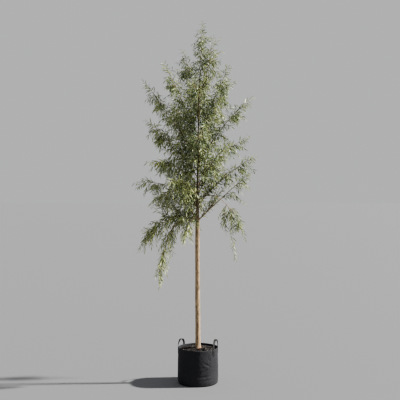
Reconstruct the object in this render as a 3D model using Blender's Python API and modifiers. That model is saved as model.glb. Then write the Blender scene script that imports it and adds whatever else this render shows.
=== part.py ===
"""A potted white willow, 3.6 m tall, in a 45 litre planter bag with two carrying handles.

Metres, +Z up. The origin is the centre of the bag's flat underside, +X is to the right and -Y is
the front. A limb is one arching curve: its first stretch is a bare bough, and the rest is the stem
of a mass of foliage, whose twigs and leaves grow by a seeded rule in the space nearest to it.
"""

import math
import random
from dataclasses import dataclass

import bmesh
import bpy
import numpy as np
from mathutils import Matrix, Vector

# Clearance kept between neighbouring solids
GAP = 0.0003

# Planter bag
BAG_HEIGHT = 0.352
BAG_RIM_RADIUS = 0.1965
BAG_BELLY_RADIUS = 0.2020
BAG_SHOULDER_RADIUS = 0.1980
BAG_BASE_ROUNDING = 0.012
BAG_WALL = 0.003
BAG_SEGMENTS = 32
BAG_WALL_STEPS = 3
BAG_FOOT_STEPS = 2
COMPOST_LEVEL = 0.333

# Carrying handles: two straps, each an arch between two feet sewn to the outside of the bag
STRAP_WIDTH = 0.024
STRAP_THICKNESS = 0.0028
STRAP_FOOT_DEPTH = 0.065
STRAP_HALF_SPREAD = 24.0
STRAP_BEARINGS = {"handle_right": -16.0, "handle_left": 160.0}
STRAP_ARCH_HEIGHTS = {"handle_right": 0.084, "handle_left": 0.068}
STRAP_STEPS = 20

# Trunk: its diameters at heights above the ground, narrowing sharply at the fork, and its lean
TRUNK_FOOT = COMPOST_LEVEL + GAP
TRUNK_UPRIGHT_TO = 0.37
FORK_TOP = 1.68
TRUNK_TOP = 3.07
TREE_TOP = 3.62
TRUNK_GIRTHS = (
    (TRUNK_FOOT, 0.062),
    (TRUNK_UPRIGHT_TO, 0.053),
    (0.50, 0.050),
    (1.00, 0.047),
    (1.58, 0.044),
    (FORK_TOP, 0.032),
    (1.82, 0.028),
    (2.02, 0.022),
    (2.32, 0.018),
    (2.62, 0.015),
    (2.85, 0.012),
    (TRUNK_TOP, 0.009),
)
TRUNK_LEAN = 0.042
TRUNK_LEAN_POWER = 4
TRUNK_SWAY = 0.010
TRUNK_DEPTH_SWAY = 0.012
TRUNK_DEPTH_WAVES = 1.3
TRUNK_SIDES = 12

# Limbs: the first stretch is a bare bough, and the rest is the stem of a mass of foliage
LIMB_GIRTH_SHARE = 0.38
LIMB_TIP_RADIUS = 0.0026
LIMB_TAPER = 1.15
LIMB_ARCH_SHARE = 0.55
LIMB_JOINT_LENGTH = 0.012
BOUGH_STEPS = 3
BOUGH_SIDES = 6
STEM_STEPS = 4
STEM_SIDES = 4

# Twigs: how they set off from the stem, shorter towards its tip, and how far weeping bends their
# two stretches down
TWIG_RADIUS = 0.0042
TWIG_TIP_RADIUS = 0.0026
TWIG_SIZES = (0.75, 1.05)
TWIG_ROOT_SIZE = 1.10
TWIG_TIP_SIZE = 0.75
TWIG_SAMPLES = (0.25, 0.45, 0.6, 0.8, 1.0)
TWIG_FORWARD = 0.75
TWIG_BENDS = ((0.30, 0.35), (0.80, 1.10))
TWIG_FIRST_PLACE = 0.05
TWIG_LAST_PLACE = 0.95
TWIG_PLACE_STEP = 0.7549
TWIG_TURN_STEP = 0.5698
TWIG_TRIES = 120
FEWEST_LEAVES = 3

# Leaves, each standing for a spray of the real plant's narrow leaves
LEAVES_PER_METRE = 22.5
LEAF_LENGTH = 0.200
LEAF_WIDTH = 0.045
LEAF_THICKNESS = 0.0062
LEAF_BELLY = 0.42
LEAF_SINK = 0.0015
LEAF_SHARES = (0.22, 0.41, 0.61, 0.80, 0.985)
LEAF_SIZES = (0.85, 1.10)
LEAF_SHRINKS = (1.0, 0.75, 0.55)
LEAF_FACE_RISE = 0.35
LEAF_MIDDLE_SAMPLES = (0.2, 0.4, 0.6, 0.8, 1.0)
LEAF_SIDE_SAMPLES = ((0.5, 0.2), (1.0, LEAF_BELLY), (0.5, 0.7))
LEAVES_APART = 0.036
LEAF_LEAN = 0.62
LEAF_TIP_LEAN = 0.25
LEAF_DROOP = 0.42
GOLDEN_ANGLE = math.radians(137.5)

# Name of the triangle that twigs are swept from
TWIG_SECTION = "twig_section"

# Room kept between one mass and the next, and between foliage and limbs
SPACE_MARGIN = 0.0015
LIMB_CLEARANCE = 0.003
SEED = 41


@dataclass(frozen=True)
class Limb:
    """One limb of the crown.

    start is its height on the trunk, bearing its compass angle in degrees from +X towards +Y, reach
    the distance of its tip from the trunk, tip the tip's height, and rise the angle in degrees at
    which it leaves the trunk. bare is the share of it with no foliage, spread the length of its
    twigs, and hang how far they weep, from 0 to 1.
    """

    name: str
    start: float
    bearing: float
    reach: float
    tip: float
    rise: float
    bare: float
    spread: float
    hang: float


LIMBS = (
    Limb("right_low", 1.61, -12, 0.44, 2.01, 44, 0.64, 0.15, 0.35),
    Limb("right_weeping", 1.81, 30, 0.50, 1.57, 38, 0.68, 0.16, 1.00),
    Limb("right_mid", 1.77, 6, 0.48, 2.20, 50, 0.54, 0.14, 0.38),
    Limb("right_upper", 2.16, -16, 0.45, 2.74, 62, 0.26, 0.13, 0.35),
    Limb("right_high", 1.96, 24, 0.46, 2.41, 54, 0.50, 0.10, 0.30),
    Limb("right_back", 2.26, 44, 0.36, 2.98, 62, 0.16, 0.17, 0.40),
    Limb("right_front", 2.44, -38, 0.32, 3.02, 60, 0.00, 0.16, 0.40),
    Limb("right_top", 2.84, -8, 0.12, 3.32, 70, 0.00, 0.13, 0.30),
    Limb("left_low", 1.68, 190, 0.50, 1.46, 1, 0.26, 0.21, 0.90),
    Limb("left_weeping", 1.62, 200, 0.38, 1.15, 18, 0.44, 0.17, 1.00),
    Limb("left_mid", 1.74, 167, 0.53, 2.00, 52, 0.46, 0.13, 0.50),
    Limb("left_front", 1.95, 204, 0.41, 2.19, 56, 0.24, 0.20, 0.65),
    Limb("left_upper", 2.04, 172, 0.43, 2.55, 56, 0.18, 0.20, 0.60),
    Limb("left_high", 2.20, 188, 0.46, 2.89, 60, 0.14, 0.15, 0.35),
    Limb("left_front_high", 2.46, 212, 0.33, 3.04, 62, 0.00, 0.15, 0.35),
    Limb("left_top", 2.80, 150, 0.15, 3.22, 70, 0.00, 0.13, 0.30),
    Limb("front_weeping", 1.62, 244, 0.22, 1.54, 36, 0.50, 0.13, 1.00),
    Limb("front_low", 1.82, 238, 0.36, 2.00, 52, 0.34, 0.20, 0.75),
    Limb("front_right_low", 1.94, 310, 0.38, 2.30, 54, 0.36, 0.17, 0.40),
    Limb("front_mid", 2.08, 278, 0.36, 2.48, 58, 0.18, 0.19, 0.50),
    Limb("front_upper", 2.54, 262, 0.26, 2.94, 62, 0.00, 0.18, 0.40),
    Limb("back_low", 1.70, 98, 0.42, 1.86, 46, 0.36, 0.20, 0.75),
    Limb("back_left_low", 1.80, 146, 0.48, 1.86, 46, 0.36, 0.20, 0.75),
    Limb("back_right_low", 1.86, 60, 0.42, 2.22, 54, 0.36, 0.17, 0.40),
    Limb("back_mid", 2.10, 86, 0.40, 2.50, 56, 0.18, 0.19, 0.55),
    Limb("back_left", 2.26, 126, 0.38, 2.76, 60, 0.14, 0.19, 0.45),
    Limb("back_upper", 2.60, 78, 0.25, 3.06, 64, 0.00, 0.17, 0.40),
    Limb("leader", 3.04, 12, 0.022, 3.48, 88, 0.00, 0.13, 0.30),
)

# Colours, roughness
BAG_FINISH = ((0.022, 0.022, 0.024), 0.85)
STRAP_FINISH = ((0.016, 0.016, 0.018), 0.80)
COMPOST_FINISH = ((0.050, 0.036, 0.026), 0.95)
TRUNK_FINISH = ((0.42, 0.32, 0.23), 0.85)
BOUGH_FINISH = ((0.16, 0.13, 0.07), 0.80)
FOLIAGE_FINISH = ((0.22, 0.29, 0.14), 0.65)


def finish(name, look):
    """Material for one object from its base colour and roughness."""
    colour, roughness = look
    material = bpy.data.materials.new(name)
    material.use_nodes = True
    shader = material.node_tree.nodes["Principled BSDF"]
    shader.inputs["Base Color"].default_value = (*colour, 1.0)
    shader.inputs["Roughness"].default_value = roughness
    shader.inputs["Metallic"].default_value = 0.0
    return material


def add_object(name, data, collection, look=None):
    """Link new object data to a collection, with a material of its own where a look is given."""
    obj = bpy.data.objects.new(name, data)
    collection.objects.link(obj)
    if look is not None:
        data.materials.clear()
        data.materials.append(finish(name, look))
    return obj


def drop_object(obj):
    """Remove an object that was only a step on the way."""
    bpy.data.objects.remove(obj, do_unlink=True)


def bearing_vector(degrees):
    """Level unit vector at a bearing from +X towards +Y."""
    angle = math.radians(degrees)
    return Vector((math.cos(angle), math.sin(angle), 0.0))


# Bag, compost and handles

def bag_radius(height):
    """Outer radius of the bag's wall above its rounded foot: it bellies a little and draws in at the rim."""
    share = (height - BAG_BASE_ROUNDING) / (BAG_HEIGHT - BAG_BASE_ROUNDING)
    chord = BAG_SHOULDER_RADIUS + share * (BAG_RIM_RADIUS - BAG_SHOULDER_RADIUS)
    return chord + (BAG_BELLY_RADIUS - BAG_SHOULDER_RADIUS) * math.sin(math.pi * share)


def wall_profile(inset):
    """Half outline of the bag, from the compost's level down to the axis, moved in by inset."""
    drop = BAG_BASE_ROUNDING - COMPOST_LEVEL
    heights = [COMPOST_LEVEL + drop * i / BAG_WALL_STEPS for i in range(BAG_WALL_STEPS)]
    points = [(bag_radius(z) - inset, z) for z in heights]
    centre = BAG_SHOULDER_RADIUS - BAG_BASE_ROUNDING
    for i in range(BAG_FOOT_STEPS + 1):
        angle = 0.5 * math.pi * i / BAG_FOOT_STEPS
        radius = BAG_BASE_ROUNDING - inset
        points.append((centre + radius * math.cos(angle), BAG_BASE_ROUNDING - radius * math.sin(angle)))
    points.append((0.0, inset))
    return points


def turned(name, profile, collection, look):
    """Solid of revolution about the Z axis from a half outline in the XZ plane."""
    mesh = bpy.data.meshes.new(name)
    edges = [(i, i + 1) for i in range(len(profile) - 1)]
    mesh.from_pydata([(x, 0.0, z) for x, z in profile], edges, [])
    obj = add_object(name, mesh, collection, look)
    screw = obj.modifiers.new("Turn", "SCREW")
    screw.steps = BAG_SEGMENTS
    screw.render_steps = BAG_SEGMENTS
    screw.use_merge_vertices = True
    screw.merge_threshold = 0.00005
    return obj


def build_bag(collection):
    """The open bag: inside from the axis up to the rim, then the outside down to the axis again."""
    rim = [(bag_radius(BAG_HEIGHT) - BAG_WALL, BAG_HEIGHT), (bag_radius(BAG_HEIGHT), BAG_HEIGHT)]
    profile = wall_profile(BAG_WALL)[::-1] + rim + wall_profile(0.0)
    turned("grow_bag", profile, collection, BAG_FINISH)


def build_compost(collection):
    """The compost that fills the bag to just below its rim, level under the trunk."""
    side = wall_profile(BAG_WALL + GAP)
    turned("compost", [(0.0, COMPOST_LEVEL)] + side, collection, COMPOST_FINISH)


def strap_station(share, middle_bearing, arch_height):
    """Centre and width direction of a strap at a share of its length.

    It climbs the wall from one foot, arches over in the upright plane through both feet, turning
    its flat side to face along that plane, and goes down to the other foot.
    """
    half_spread = math.radians(STRAP_HALF_SPREAD)
    ride = bag_radius(BAG_HEIGHT) + GAP + 0.5 * STRAP_THICKNESS
    half_chord = ride * math.sin(half_spread)
    arch_length = math.pi * 0.5 * (half_chord + arch_height)
    total = 2 * STRAP_FOOT_DEPTH + arch_length
    distance = share * total
    from_foot = min(distance, total - distance)
    if from_foot < STRAP_FOOT_DEPTH:
        side = -1.0 if share < 0.5 else 1.0
        foot_bearing = middle_bearing + side * STRAP_HALF_SPREAD
        height = BAG_HEIGHT - STRAP_FOOT_DEPTH + from_foot
        centre = bearing_vector(foot_bearing) * (bag_radius(height) + GAP + 0.5 * STRAP_THICKNESS)
        centre.z = height
        return centre, bearing_vector(foot_bearing - side * 90)
    turn = math.pi * (distance - STRAP_FOOT_DEPTH) / arch_length
    outward, along = bearing_vector(middle_bearing), bearing_vector(middle_bearing + 90)
    centre = outward * ride * math.cos(half_spread) - along * half_chord * math.cos(turn)
    centre.z = BAG_HEIGHT + arch_height * math.sin(turn)
    return centre, bearing_vector(middle_bearing + (90 - STRAP_HALF_SPREAD) * math.cos(turn))


def build_strap(name, collection):
    """A flat strap: a strip laid along its stations and given its thickness."""
    bm = bmesh.new()
    bmesh.ops.create_grid(bm, x_segments=STRAP_STEPS, y_segments=1, size=0.5)
    for vert in bm.verts:
        centre, width_way = strap_station(vert.co.x + 0.5, STRAP_BEARINGS[name], STRAP_ARCH_HEIGHTS[name])
        vert.co = centre + width_way * STRAP_WIDTH * vert.co.y
    mesh = bpy.data.meshes.new(name)
    bm.to_mesh(mesh)
    bm.free()
    obj = add_object(name, mesh, collection, STRAP_FINISH)
    solid = obj.modifiers.new("Webbing", "SOLIDIFY")
    solid.thickness = STRAP_THICKNESS
    solid.offset = 0.0


# Wood

def trunk_axis(height):
    """Point on the trunk's centre line, carried on past the trunk's end to the top of the tree."""
    t = max(0.0, (height - TRUNK_UPRIGHT_TO) / (TREE_TOP - TRUNK_UPRIGHT_TO))
    x = TRUNK_LEAN * t ** TRUNK_LEAN_POWER - TRUNK_SWAY * math.sin(math.pi * t) * (1.0 - t)
    y = TRUNK_DEPTH_SWAY * math.sin(TRUNK_DEPTH_WAVES * math.pi * t)
    return Vector((x, y, height))


def trunk_radius(height):
    """Radius of the trunk, read off its measured diameters."""
    heights = [z for z, _ in TRUNK_GIRTHS]
    diameters = [d for _, d in TRUNK_GIRTHS]
    return 0.5 * float(np.interp(height, heights, diameters))


def tube_mesh(points, radii, sides):
    """Closed mesh of a tapering tube: a curve with filled caps, turned into a mesh and welded.

    Three sides are swept from a triangle, and an even number comes from the curve's own bevel.
    """
    curve = bpy.data.curves.new("tube", "CURVE")
    curve.dimensions = "3D"
    curve.use_fill_caps = True
    if sides == 3:
        curve.bevel_mode = "OBJECT"
        curve.bevel_object = bpy.data.objects[TWIG_SECTION]
    else:
        curve.bevel_depth = 1.0
        curve.bevel_resolution = sides // 2 - 2
    spline = curve.splines.new("POLY")
    spline.points.add(len(points) - 1)
    for node, place, radius in zip(spline.points, points, radii):
        node.co = (*place, 1.0)
        node.radius = radius
    guide = bpy.data.objects.new("tube", curve)
    bpy.context.scene.collection.objects.link(guide)
    evaluated = guide.evaluated_get(bpy.context.evaluated_depsgraph_get())
    mesh = bpy.data.meshes.new_from_object(evaluated)
    bm = bmesh.new()
    bm.from_mesh(mesh)
    bmesh.ops.remove_doubles(bm, verts=bm.verts, dist=0.00001)
    bmesh.ops.recalc_face_normals(bm, faces=bm.faces)
    bm.to_mesh(mesh)
    bm.free()
    drop_object(guide)
    return mesh


def add_twig_section(collection):
    """The triangle that twigs are swept from, one unit in radius."""
    curve = bpy.data.curves.new(TWIG_SECTION, "CURVE")
    spline = curve.splines.new("POLY")
    spline.points.add(2)
    spline.use_cyclic_u = True
    for i, node in enumerate(spline.points):
        angle = 2.0 * math.pi * i / 3.0
        node.co = (math.cos(angle), math.sin(angle), 0.0, 1.0)
    guide = add_object(TWIG_SECTION, curve, collection)
    guide.hide_render = True
    guide.display_type = "WIRE"


def trunk_mesh(margin):
    """The trunk from its flat foot to its flat top, fatter and taller by a margin."""
    points = [trunk_axis(height) for height, _ in TRUNK_GIRTHS]
    points[-1] = points[-1] + (points[-1] - points[-2]).normalized() * margin
    radii = [0.5 * diameter + margin for _, diameter in TRUNK_GIRTHS]
    return tube_mesh(points, radii, TRUNK_SIDES)


def limb_point(limb, share):
    """Point on a limb's centre line: a quadratic curve that leaves at its rise and arches to its tip."""
    root = trunk_axis(limb.start)
    outward = bearing_vector(limb.bearing)
    tip = root + outward * limb.reach
    tip.z = limb.tip
    rise = math.radians(limb.rise)
    aim = outward * math.cos(rise) + Vector((0, 0, math.sin(rise)))
    bend = root + aim * LIMB_ARCH_SHARE * (tip - root).length
    return root * (1 - share) ** 2 + bend * 2 * share * (1 - share) + tip * share ** 2


def limb_course(limb, share):
    """Unit vector along a limb at a share of its length."""
    ahead, behind = limb_point(limb, share + 0.01), limb_point(limb, share - 0.01)
    return (ahead - behind).normalized()


def limb_radius(limb, share):
    """Radius of a limb, tapering from where it leaves the trunk."""
    base = LIMB_GIRTH_SHARE * trunk_radius(max(limb.start, FORK_TOP))
    return LIMB_TIP_RADIUS + (base - LIMB_TIP_RADIUS) * (1 - share) ** LIMB_TAPER


def bough_line(limb):
    """Points and radii of a limb's bare stretch, straight over its last few millimetres."""
    end = limb_point(limb, limb.bare)
    shares = [limb.bare * i / BOUGH_STEPS for i in range(BOUGH_STEPS)]
    points = [limb_point(limb, s) for s in shares]
    points += [end - limb_course(limb, limb.bare) * LIMB_JOINT_LENGTH, end]
    radii = [limb_radius(limb, s) for s in shares] + [limb_radius(limb, limb.bare)] * 2
    return points, radii


def stem_line(limb):
    """Points and radii of a mass's stem, from just past the bough, or inside the trunk, to the tip."""
    shares = [limb.bare + (1 - limb.bare) * i / STEM_STEPS for i in range(1, STEM_STEPS + 1)]
    points = [limb_point(limb, s) for s in shares]
    radii = [limb_radius(limb, s) for s in shares]
    start = limb_point(limb, limb.bare)
    if limb.bare == 0.0:
        return [start] + points, [limb_radius(limb, 0.0)] + radii
    course = limb_course(limb, limb.bare)
    joint = [start + course * GAP, start + course * (GAP + LIMB_JOINT_LENGTH)]
    return joint + points, [limb_radius(limb, limb.bare)] * 2 + radii


def seat(obj, cutter):
    """Cut an object clear of the trunk."""
    cut = obj.modifiers.new("Seat on the trunk", "BOOLEAN")
    cut.operation = "DIFFERENCE"
    cut.object = cutter


# Foliage

class Spaces:
    """The room that each mass of foliage has: what lies nearest to its own stem and clear of the limbs."""

    limb_samples = 24
    trunk_samples = 280

    def __init__(self, limbs):
        """Sample the stems, with the mass that each belongs to, and the bare wood."""
        stems, owners, wood = [], [], []
        for index, limb in enumerate(limbs):
            for share in np.linspace(limb.bare, 1.0, self.limb_samples):
                stems.append((*limb_point(limb, share), limb_radius(limb, share)))
                owners.append(index)
            for share in np.linspace(0.0, limb.bare, self.limb_samples):
                wood.append((*limb_point(limb, share), limb_radius(limb, share)))
        for height in np.linspace(TRUNK_FOOT, TRUNK_TOP, self.trunk_samples):
            wood.append((*trunk_axis(height), trunk_radius(height)))
        self.stems, self.owners, self.wood = np.array(stems), np.array(owners), np.array(wood)

    @staticmethod
    def distances(samples, point):
        """Distance from a point to the surface of each sampled stretch of wood."""
        return np.linalg.norm(samples[:, :3] - point, axis=1) - samples[:, 3]

    def holds(self, index, point, girth):
        """Whether a point, with girth around it, is in a mass's own space."""
        if self.distances(self.wood, point).min() < girth + LIMB_CLEARANCE:
            return False
        to_stems = self.distances(self.stems, point)
        own = to_stems[self.owners == index].min()
        others = to_stems[self.owners != index].min()
        return others - own > 2 * (girth + SPACE_MARGIN)


def twig_line(root, outward, length, hang):
    """Root, middle and end of a twig that sets off outward and bends down under its own weight."""
    points = [root]
    for less_outward, more_down in TWIG_BENDS:
        course = outward * (1 - less_outward * hang) - Vector((0, 0, more_down * hang))
        points.append(points[-1] + course.normalized() * 0.5 * length)
    return points


def along_line(points, share):
    """Point and direction at a share of a twig of two equal stretches."""
    stretch = 0 if share < 0.5 else 1
    start, end = points[stretch], points[stretch + 1]
    return start.lerp(end, 2 * share - stretch), (end - start).normalized()


def leaf_frame(root, aim, face, size):
    """Placing of the leaf mesh: its length runs along aim from a root sunk into the twig."""
    across = aim.cross(face).normalized()
    normal = across.cross(aim)
    frame = Matrix((across * size, normal * size, aim * size)).transposed().to_4x4()
    return Matrix.Translation(root - aim * LEAF_SINK) @ frame


def leaf_fits(spaces, index, frame):
    """Whether a leaf stays in its mass's space, tried at its middle line and both sides."""
    places = [(0.0, share) for share in LEAF_MIDDLE_SAMPLES]
    places += [(side * out, share) for side in (-0.5, 0.5) for out, share in LEAF_SIDE_SAMPLES]
    tries = [frame @ Vector((across * LEAF_WIDTH, 0, share * LEAF_LENGTH)) for across, share in places]
    return all(spaces.holds(index, point, 0.5 * LEAF_THICKNESS) for point in tries)


def leaves_on(points, grown, index, spaces, rng):
    """Frames of the leaves along a twig: they lean out to either side of it and droop.

    A leaf that would leave the mass's space is tried again at smaller sizes, and one that would
    lie against a leaf grown before it is skipped.
    """
    frames = []
    turn = rng.uniform(0, 2 * math.pi)
    for share in LEAF_SHARES:
        root, course = along_line(points, share)
        turn += GOLDEN_ANGLE
        side = course.orthogonal()
        side.rotate(Matrix.Rotation(turn, 3, course))
        lean = LEAF_TIP_LEAN if share == LEAF_SHARES[-1] else LEAF_LEAN
        aim = (course + side * lean + Vector((0, 0, -LEAF_DROOP))).normalized()
        face = Vector((rng.uniform(-1, 1), rng.uniform(-1, 1), LEAF_FACE_RISE))
        size = rng.uniform(*LEAF_SIZES)
        for shrink in LEAF_SHRINKS:
            frame = leaf_frame(root, aim, face, size * shrink)
            if leaf_fits(spaces, index, frame) and stands_apart(frame, grown + frames):
                frames.append(frame)
                break
    return frames


def stands_apart(frame, others):
    """Whether the middle of a leaf keeps its distance from the middles of the others."""
    middle = Vector((0, 0, 0.5 * LEAF_LENGTH))
    return all((frame @ middle - other @ middle).length > LEAVES_APART for other in others)


def grow(limb, index, spaces):
    """Twigs and leaf frames of one mass by the seeded rule, skipping what would leave its space."""
    rng = random.Random(SEED + index)
    twigs = []
    stem_points, _ = stem_line(limb)
    stem_length = sum((b - a).length for a, b in zip(stem_points, stem_points[1:]))
    quota = round(LEAVES_PER_METRE * (stem_length + limb.spread))
    frames = leaves_on(stem_points[-3:], [], index, spaces, rng)
    first_turn = rng.uniform(0, 2 * math.pi)
    for attempt in range(TWIG_TRIES):
        if len(frames) >= quota:
            break
        turned_by = first_turn + 2 * math.pi * attempt * TWIG_TURN_STEP
        sown = (attempt * TWIG_PLACE_STEP) % 1.0
        place = TWIG_FIRST_PLACE + (TWIG_LAST_PLACE - TWIG_FIRST_PLACE) * sown
        share = limb.bare + (1 - limb.bare) * place
        root, course = limb_point(limb, share), limb_course(limb, share)
        side = course.orthogonal()
        side.rotate(Matrix.Rotation(turned_by, 3, course))
        outward = (side + course * TWIG_FORWARD).normalized()
        size = TWIG_ROOT_SIZE + place * (TWIG_TIP_SIZE - TWIG_ROOT_SIZE)
        length = limb.spread * rng.uniform(*TWIG_SIZES) * size
        points = twig_line(root, outward, length, limb.hang)
        tries = [along_line(points, s)[0] for s in TWIG_SAMPLES]
        if not all(spaces.holds(index, point, TWIG_RADIUS) for point in tries):
            continue
        leaves = leaves_on(points, frames, index, spaces, rng)
        if len(leaves) >= FEWEST_LEAVES:
            twigs.append(points)
            frames += leaves
    return twigs, frames


def leaf_mesh():
    """A leaf of eight faces along +Z, widest below its middle: a sphere of four sides and two rings."""
    bm = bmesh.new()
    bmesh.ops.create_uvsphere(bm, u_segments=4, v_segments=2, radius=0.5)
    for vert in bm.verts:
        along = round(vert.co.z + 0.5) if abs(vert.co.z) > 0.25 else LEAF_BELLY
        vert.co = (vert.co.x * LEAF_WIDTH, vert.co.y * LEAF_THICKNESS, along * LEAF_LENGTH)
    mesh = bpy.data.meshes.new("leaf")
    bm.to_mesh(mesh)
    bm.free()
    return mesh


def largest_piece(mesh):
    """Keep the outer skin of the main piece: loose scraps go, and sealed hollows are filled."""
    bm = bmesh.new()
    bm.from_mesh(mesh)
    left, pieces = set(bm.verts), []
    while left:
        piece, reached = [], [left.pop()]
        while reached:
            vert = reached.pop()
            piece.append(vert)
            neighbours = {edge.other_vert(vert) for edge in vert.link_edges} & left
            left -= neighbours
            reached += neighbours
        pieces.append(piece)
    pieces.sort(key=len)
    for piece in pieces[:-1]:
        bmesh.ops.delete(bm, geom=piece, context="VERTS")
    bm.to_mesh(mesh)
    bm.free()


def build_mass(limb, index, spaces, leaf, cutter, collection):
    """The mass of foliage on one limb: its stem, with the twigs and leaves fused on in one union."""
    twigs, frames = grow(limb, index, spaces)
    spray = bpy.data.collections.new(f"spray_{limb.name}")
    bpy.context.scene.collection.children.link(spray)
    twig_radii = (TWIG_RADIUS, 0.5 * (TWIG_RADIUS + TWIG_TIP_RADIUS), TWIG_TIP_RADIUS)
    for points in twigs:
        add_object("twig", tube_mesh(points, twig_radii, 3), spray)
    for frame in frames:
        add_object("leaf", leaf, spray).matrix_world = frame
    stem = add_object("stem", tube_mesh(*stem_line(limb), STEM_SIDES), bpy.context.scene.collection)
    union = stem.modifiers.new("Fuse", "BOOLEAN")
    union.operation = "UNION"
    union.operand_type = "COLLECTION"
    union.collection = spray
    if limb.bare == 0.0:
        seat(stem, cutter)
    evaluated = stem.evaluated_get(bpy.context.evaluated_depsgraph_get())
    mesh = bpy.data.meshes.new_from_object(evaluated)
    largest_piece(mesh)
    for obj in [stem, *spray.objects]:
        drop_object(obj)
    bpy.data.collections.remove(spray)
    add_object(f"foliage_{limb.name}", mesh, collection, FOLIAGE_FINISH)


def build_bough(limb, cutter, collection):
    """The bare stretch of a limb, cut to sit on the trunk."""
    mesh = tube_mesh(*bough_line(limb), BOUGH_SIDES)
    bough = add_object(f"bough_{limb.name}", mesh, collection, BOUGH_FINISH)
    seat(bough, cutter)


def build_trunk(collection, cutters):
    """The trunk, and the slightly larger copy of it that cuts limbs clear of it."""
    trunk = add_object("trunk", trunk_mesh(0.0), collection, TRUNK_FINISH)
    trunk.data.shade_smooth()
    cutter = add_object("trunk_clearance", trunk_mesh(GAP), cutters)
    cutter.hide_render = True
    cutter.display_type = "WIRE"
    return cutter


def main():
    """Build the whole plant in a collection of its own, with the cutters in another."""
    for obj in list(bpy.data.objects):
        drop_object(obj)
    tree = bpy.data.collections.new("potted_white_willow")
    cutters = bpy.data.collections.new("cutters")
    for collection in (tree, cutters):
        bpy.context.scene.collection.children.link(collection)
    add_twig_section(cutters)
    build_bag(tree)
    build_compost(tree)
    for name in STRAP_BEARINGS:
        build_strap(name, tree)
    cutter = build_trunk(tree, cutters)
    spaces = Spaces(LIMBS)
    leaf = leaf_mesh()
    for index, limb in enumerate(LIMBS):
        if limb.bare > 0.0:
            build_bough(limb, cutter, tree)
        build_mass(limb, index, spaces, leaf, cutter, tree)


main()
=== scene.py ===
"""A young white willow in a black planter bag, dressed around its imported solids.

Metres, +Z up, -Y the front. The solids give the bag, the compost, the handles and the trunk their
places. The limbs repeat the driving sizes of the source, so boughs, twigs and leaves grow on from
the same wood by the same seeded rule, carried on to finer shoots and to leaves of life size.
"""

from __future__ import annotations

import logging
import math
import random
from dataclasses import dataclass
from enum import Enum
from functools import cached_property, partial
from typing import Callable, Iterable, Iterator, Sequence, Union

import bmesh
import bpy
import numpy as np
from mathutils import Matrix, Vector, noise


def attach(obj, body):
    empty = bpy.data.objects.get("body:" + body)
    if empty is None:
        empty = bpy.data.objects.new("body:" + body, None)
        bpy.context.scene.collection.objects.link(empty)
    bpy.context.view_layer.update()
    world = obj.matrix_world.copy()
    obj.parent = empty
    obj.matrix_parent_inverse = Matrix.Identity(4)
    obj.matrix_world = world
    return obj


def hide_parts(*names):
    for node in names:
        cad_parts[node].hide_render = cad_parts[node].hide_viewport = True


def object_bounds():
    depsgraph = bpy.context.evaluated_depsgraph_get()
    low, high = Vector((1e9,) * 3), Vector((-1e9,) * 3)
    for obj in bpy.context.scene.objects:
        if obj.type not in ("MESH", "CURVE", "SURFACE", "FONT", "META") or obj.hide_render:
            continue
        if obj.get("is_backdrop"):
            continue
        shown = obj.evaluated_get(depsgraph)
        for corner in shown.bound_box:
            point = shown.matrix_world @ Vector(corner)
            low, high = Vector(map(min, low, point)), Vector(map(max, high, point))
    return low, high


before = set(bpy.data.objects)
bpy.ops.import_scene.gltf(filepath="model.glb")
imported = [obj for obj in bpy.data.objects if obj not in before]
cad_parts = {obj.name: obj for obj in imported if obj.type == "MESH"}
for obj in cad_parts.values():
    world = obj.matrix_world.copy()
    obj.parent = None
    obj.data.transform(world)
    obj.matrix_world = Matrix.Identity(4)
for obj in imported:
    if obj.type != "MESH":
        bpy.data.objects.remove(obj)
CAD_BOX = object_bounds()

log = logging.getLogger("potted_willow")

Pair = tuple[float, float]
Span = Pair
Triple = tuple[float, float, float]
Colour = Triple
Skin = Callable[[float, float], Vector]
Line = tuple[Sequence[Vector], Span]
Value = Union[float, "Wire"]

BODY = "root"
MERGE_DISTANCE = 0.00002
GAP = 0.0003
POLE_SHARE = 0.9999
UP = Vector((0.0, 0.0, 1.0))
DOWN = Vector((0.0, 0.0, -1.0))

# Sockets of a Mix node that mixes colours, whose names others share
MIX_MASK = 0
MIX_FIRST = 6
MIX_SECOND = 7
MIX_RESULT = 2


# Shader maths

class Wire:
    """An output of a material's nodes, on which ordinary arithmetic adds Math nodes."""

    def __init__(self, bench: Bench, socket: bpy.types.NodeSocket) -> None:
        """Keep the socket with the bench that its nodes stand on."""
        self.bench = bench
        self.socket = socket

    def maths(self, operation: str, *values: Value) -> Wire:
        """Result of a Math node on the values."""
        return self.bench.node("ShaderNodeMath", {"operation": operation}, dict(enumerate(values)))

    def __add__(self, other: Value) -> Wire:
        """Sum of the two."""
        return self.maths("ADD", self, other)

    def __sub__(self, other: Value) -> Wire:
        """This less the other."""
        return self.maths("SUBTRACT", self, other)

    def __rsub__(self, other: Value) -> Wire:
        """The other less this."""
        return self.maths("SUBTRACT", other, self)

    def __mul__(self, other: Value) -> Wire:
        """Product of the two."""
        return self.maths("MULTIPLY", self, other)

    __radd__ = __add__
    __rmul__ = __mul__

    def output(self, index: int) -> Wire:
        """Another output of the same node."""
        return Wire(self.bench, self.socket.node.outputs[index])

    def sine(self) -> Wire:
        """Sine of an angle in radians."""
        return self.maths("SINE", self)

    def between(self, low: float, high: float) -> Wire:
        """This on a scale from 0 at low to 1 at high, kept within 0 and 1."""
        return self.bench.node("ShaderNodeMapRange", {"clamp": True}, dict(enumerate((self, low, high))))


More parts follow.
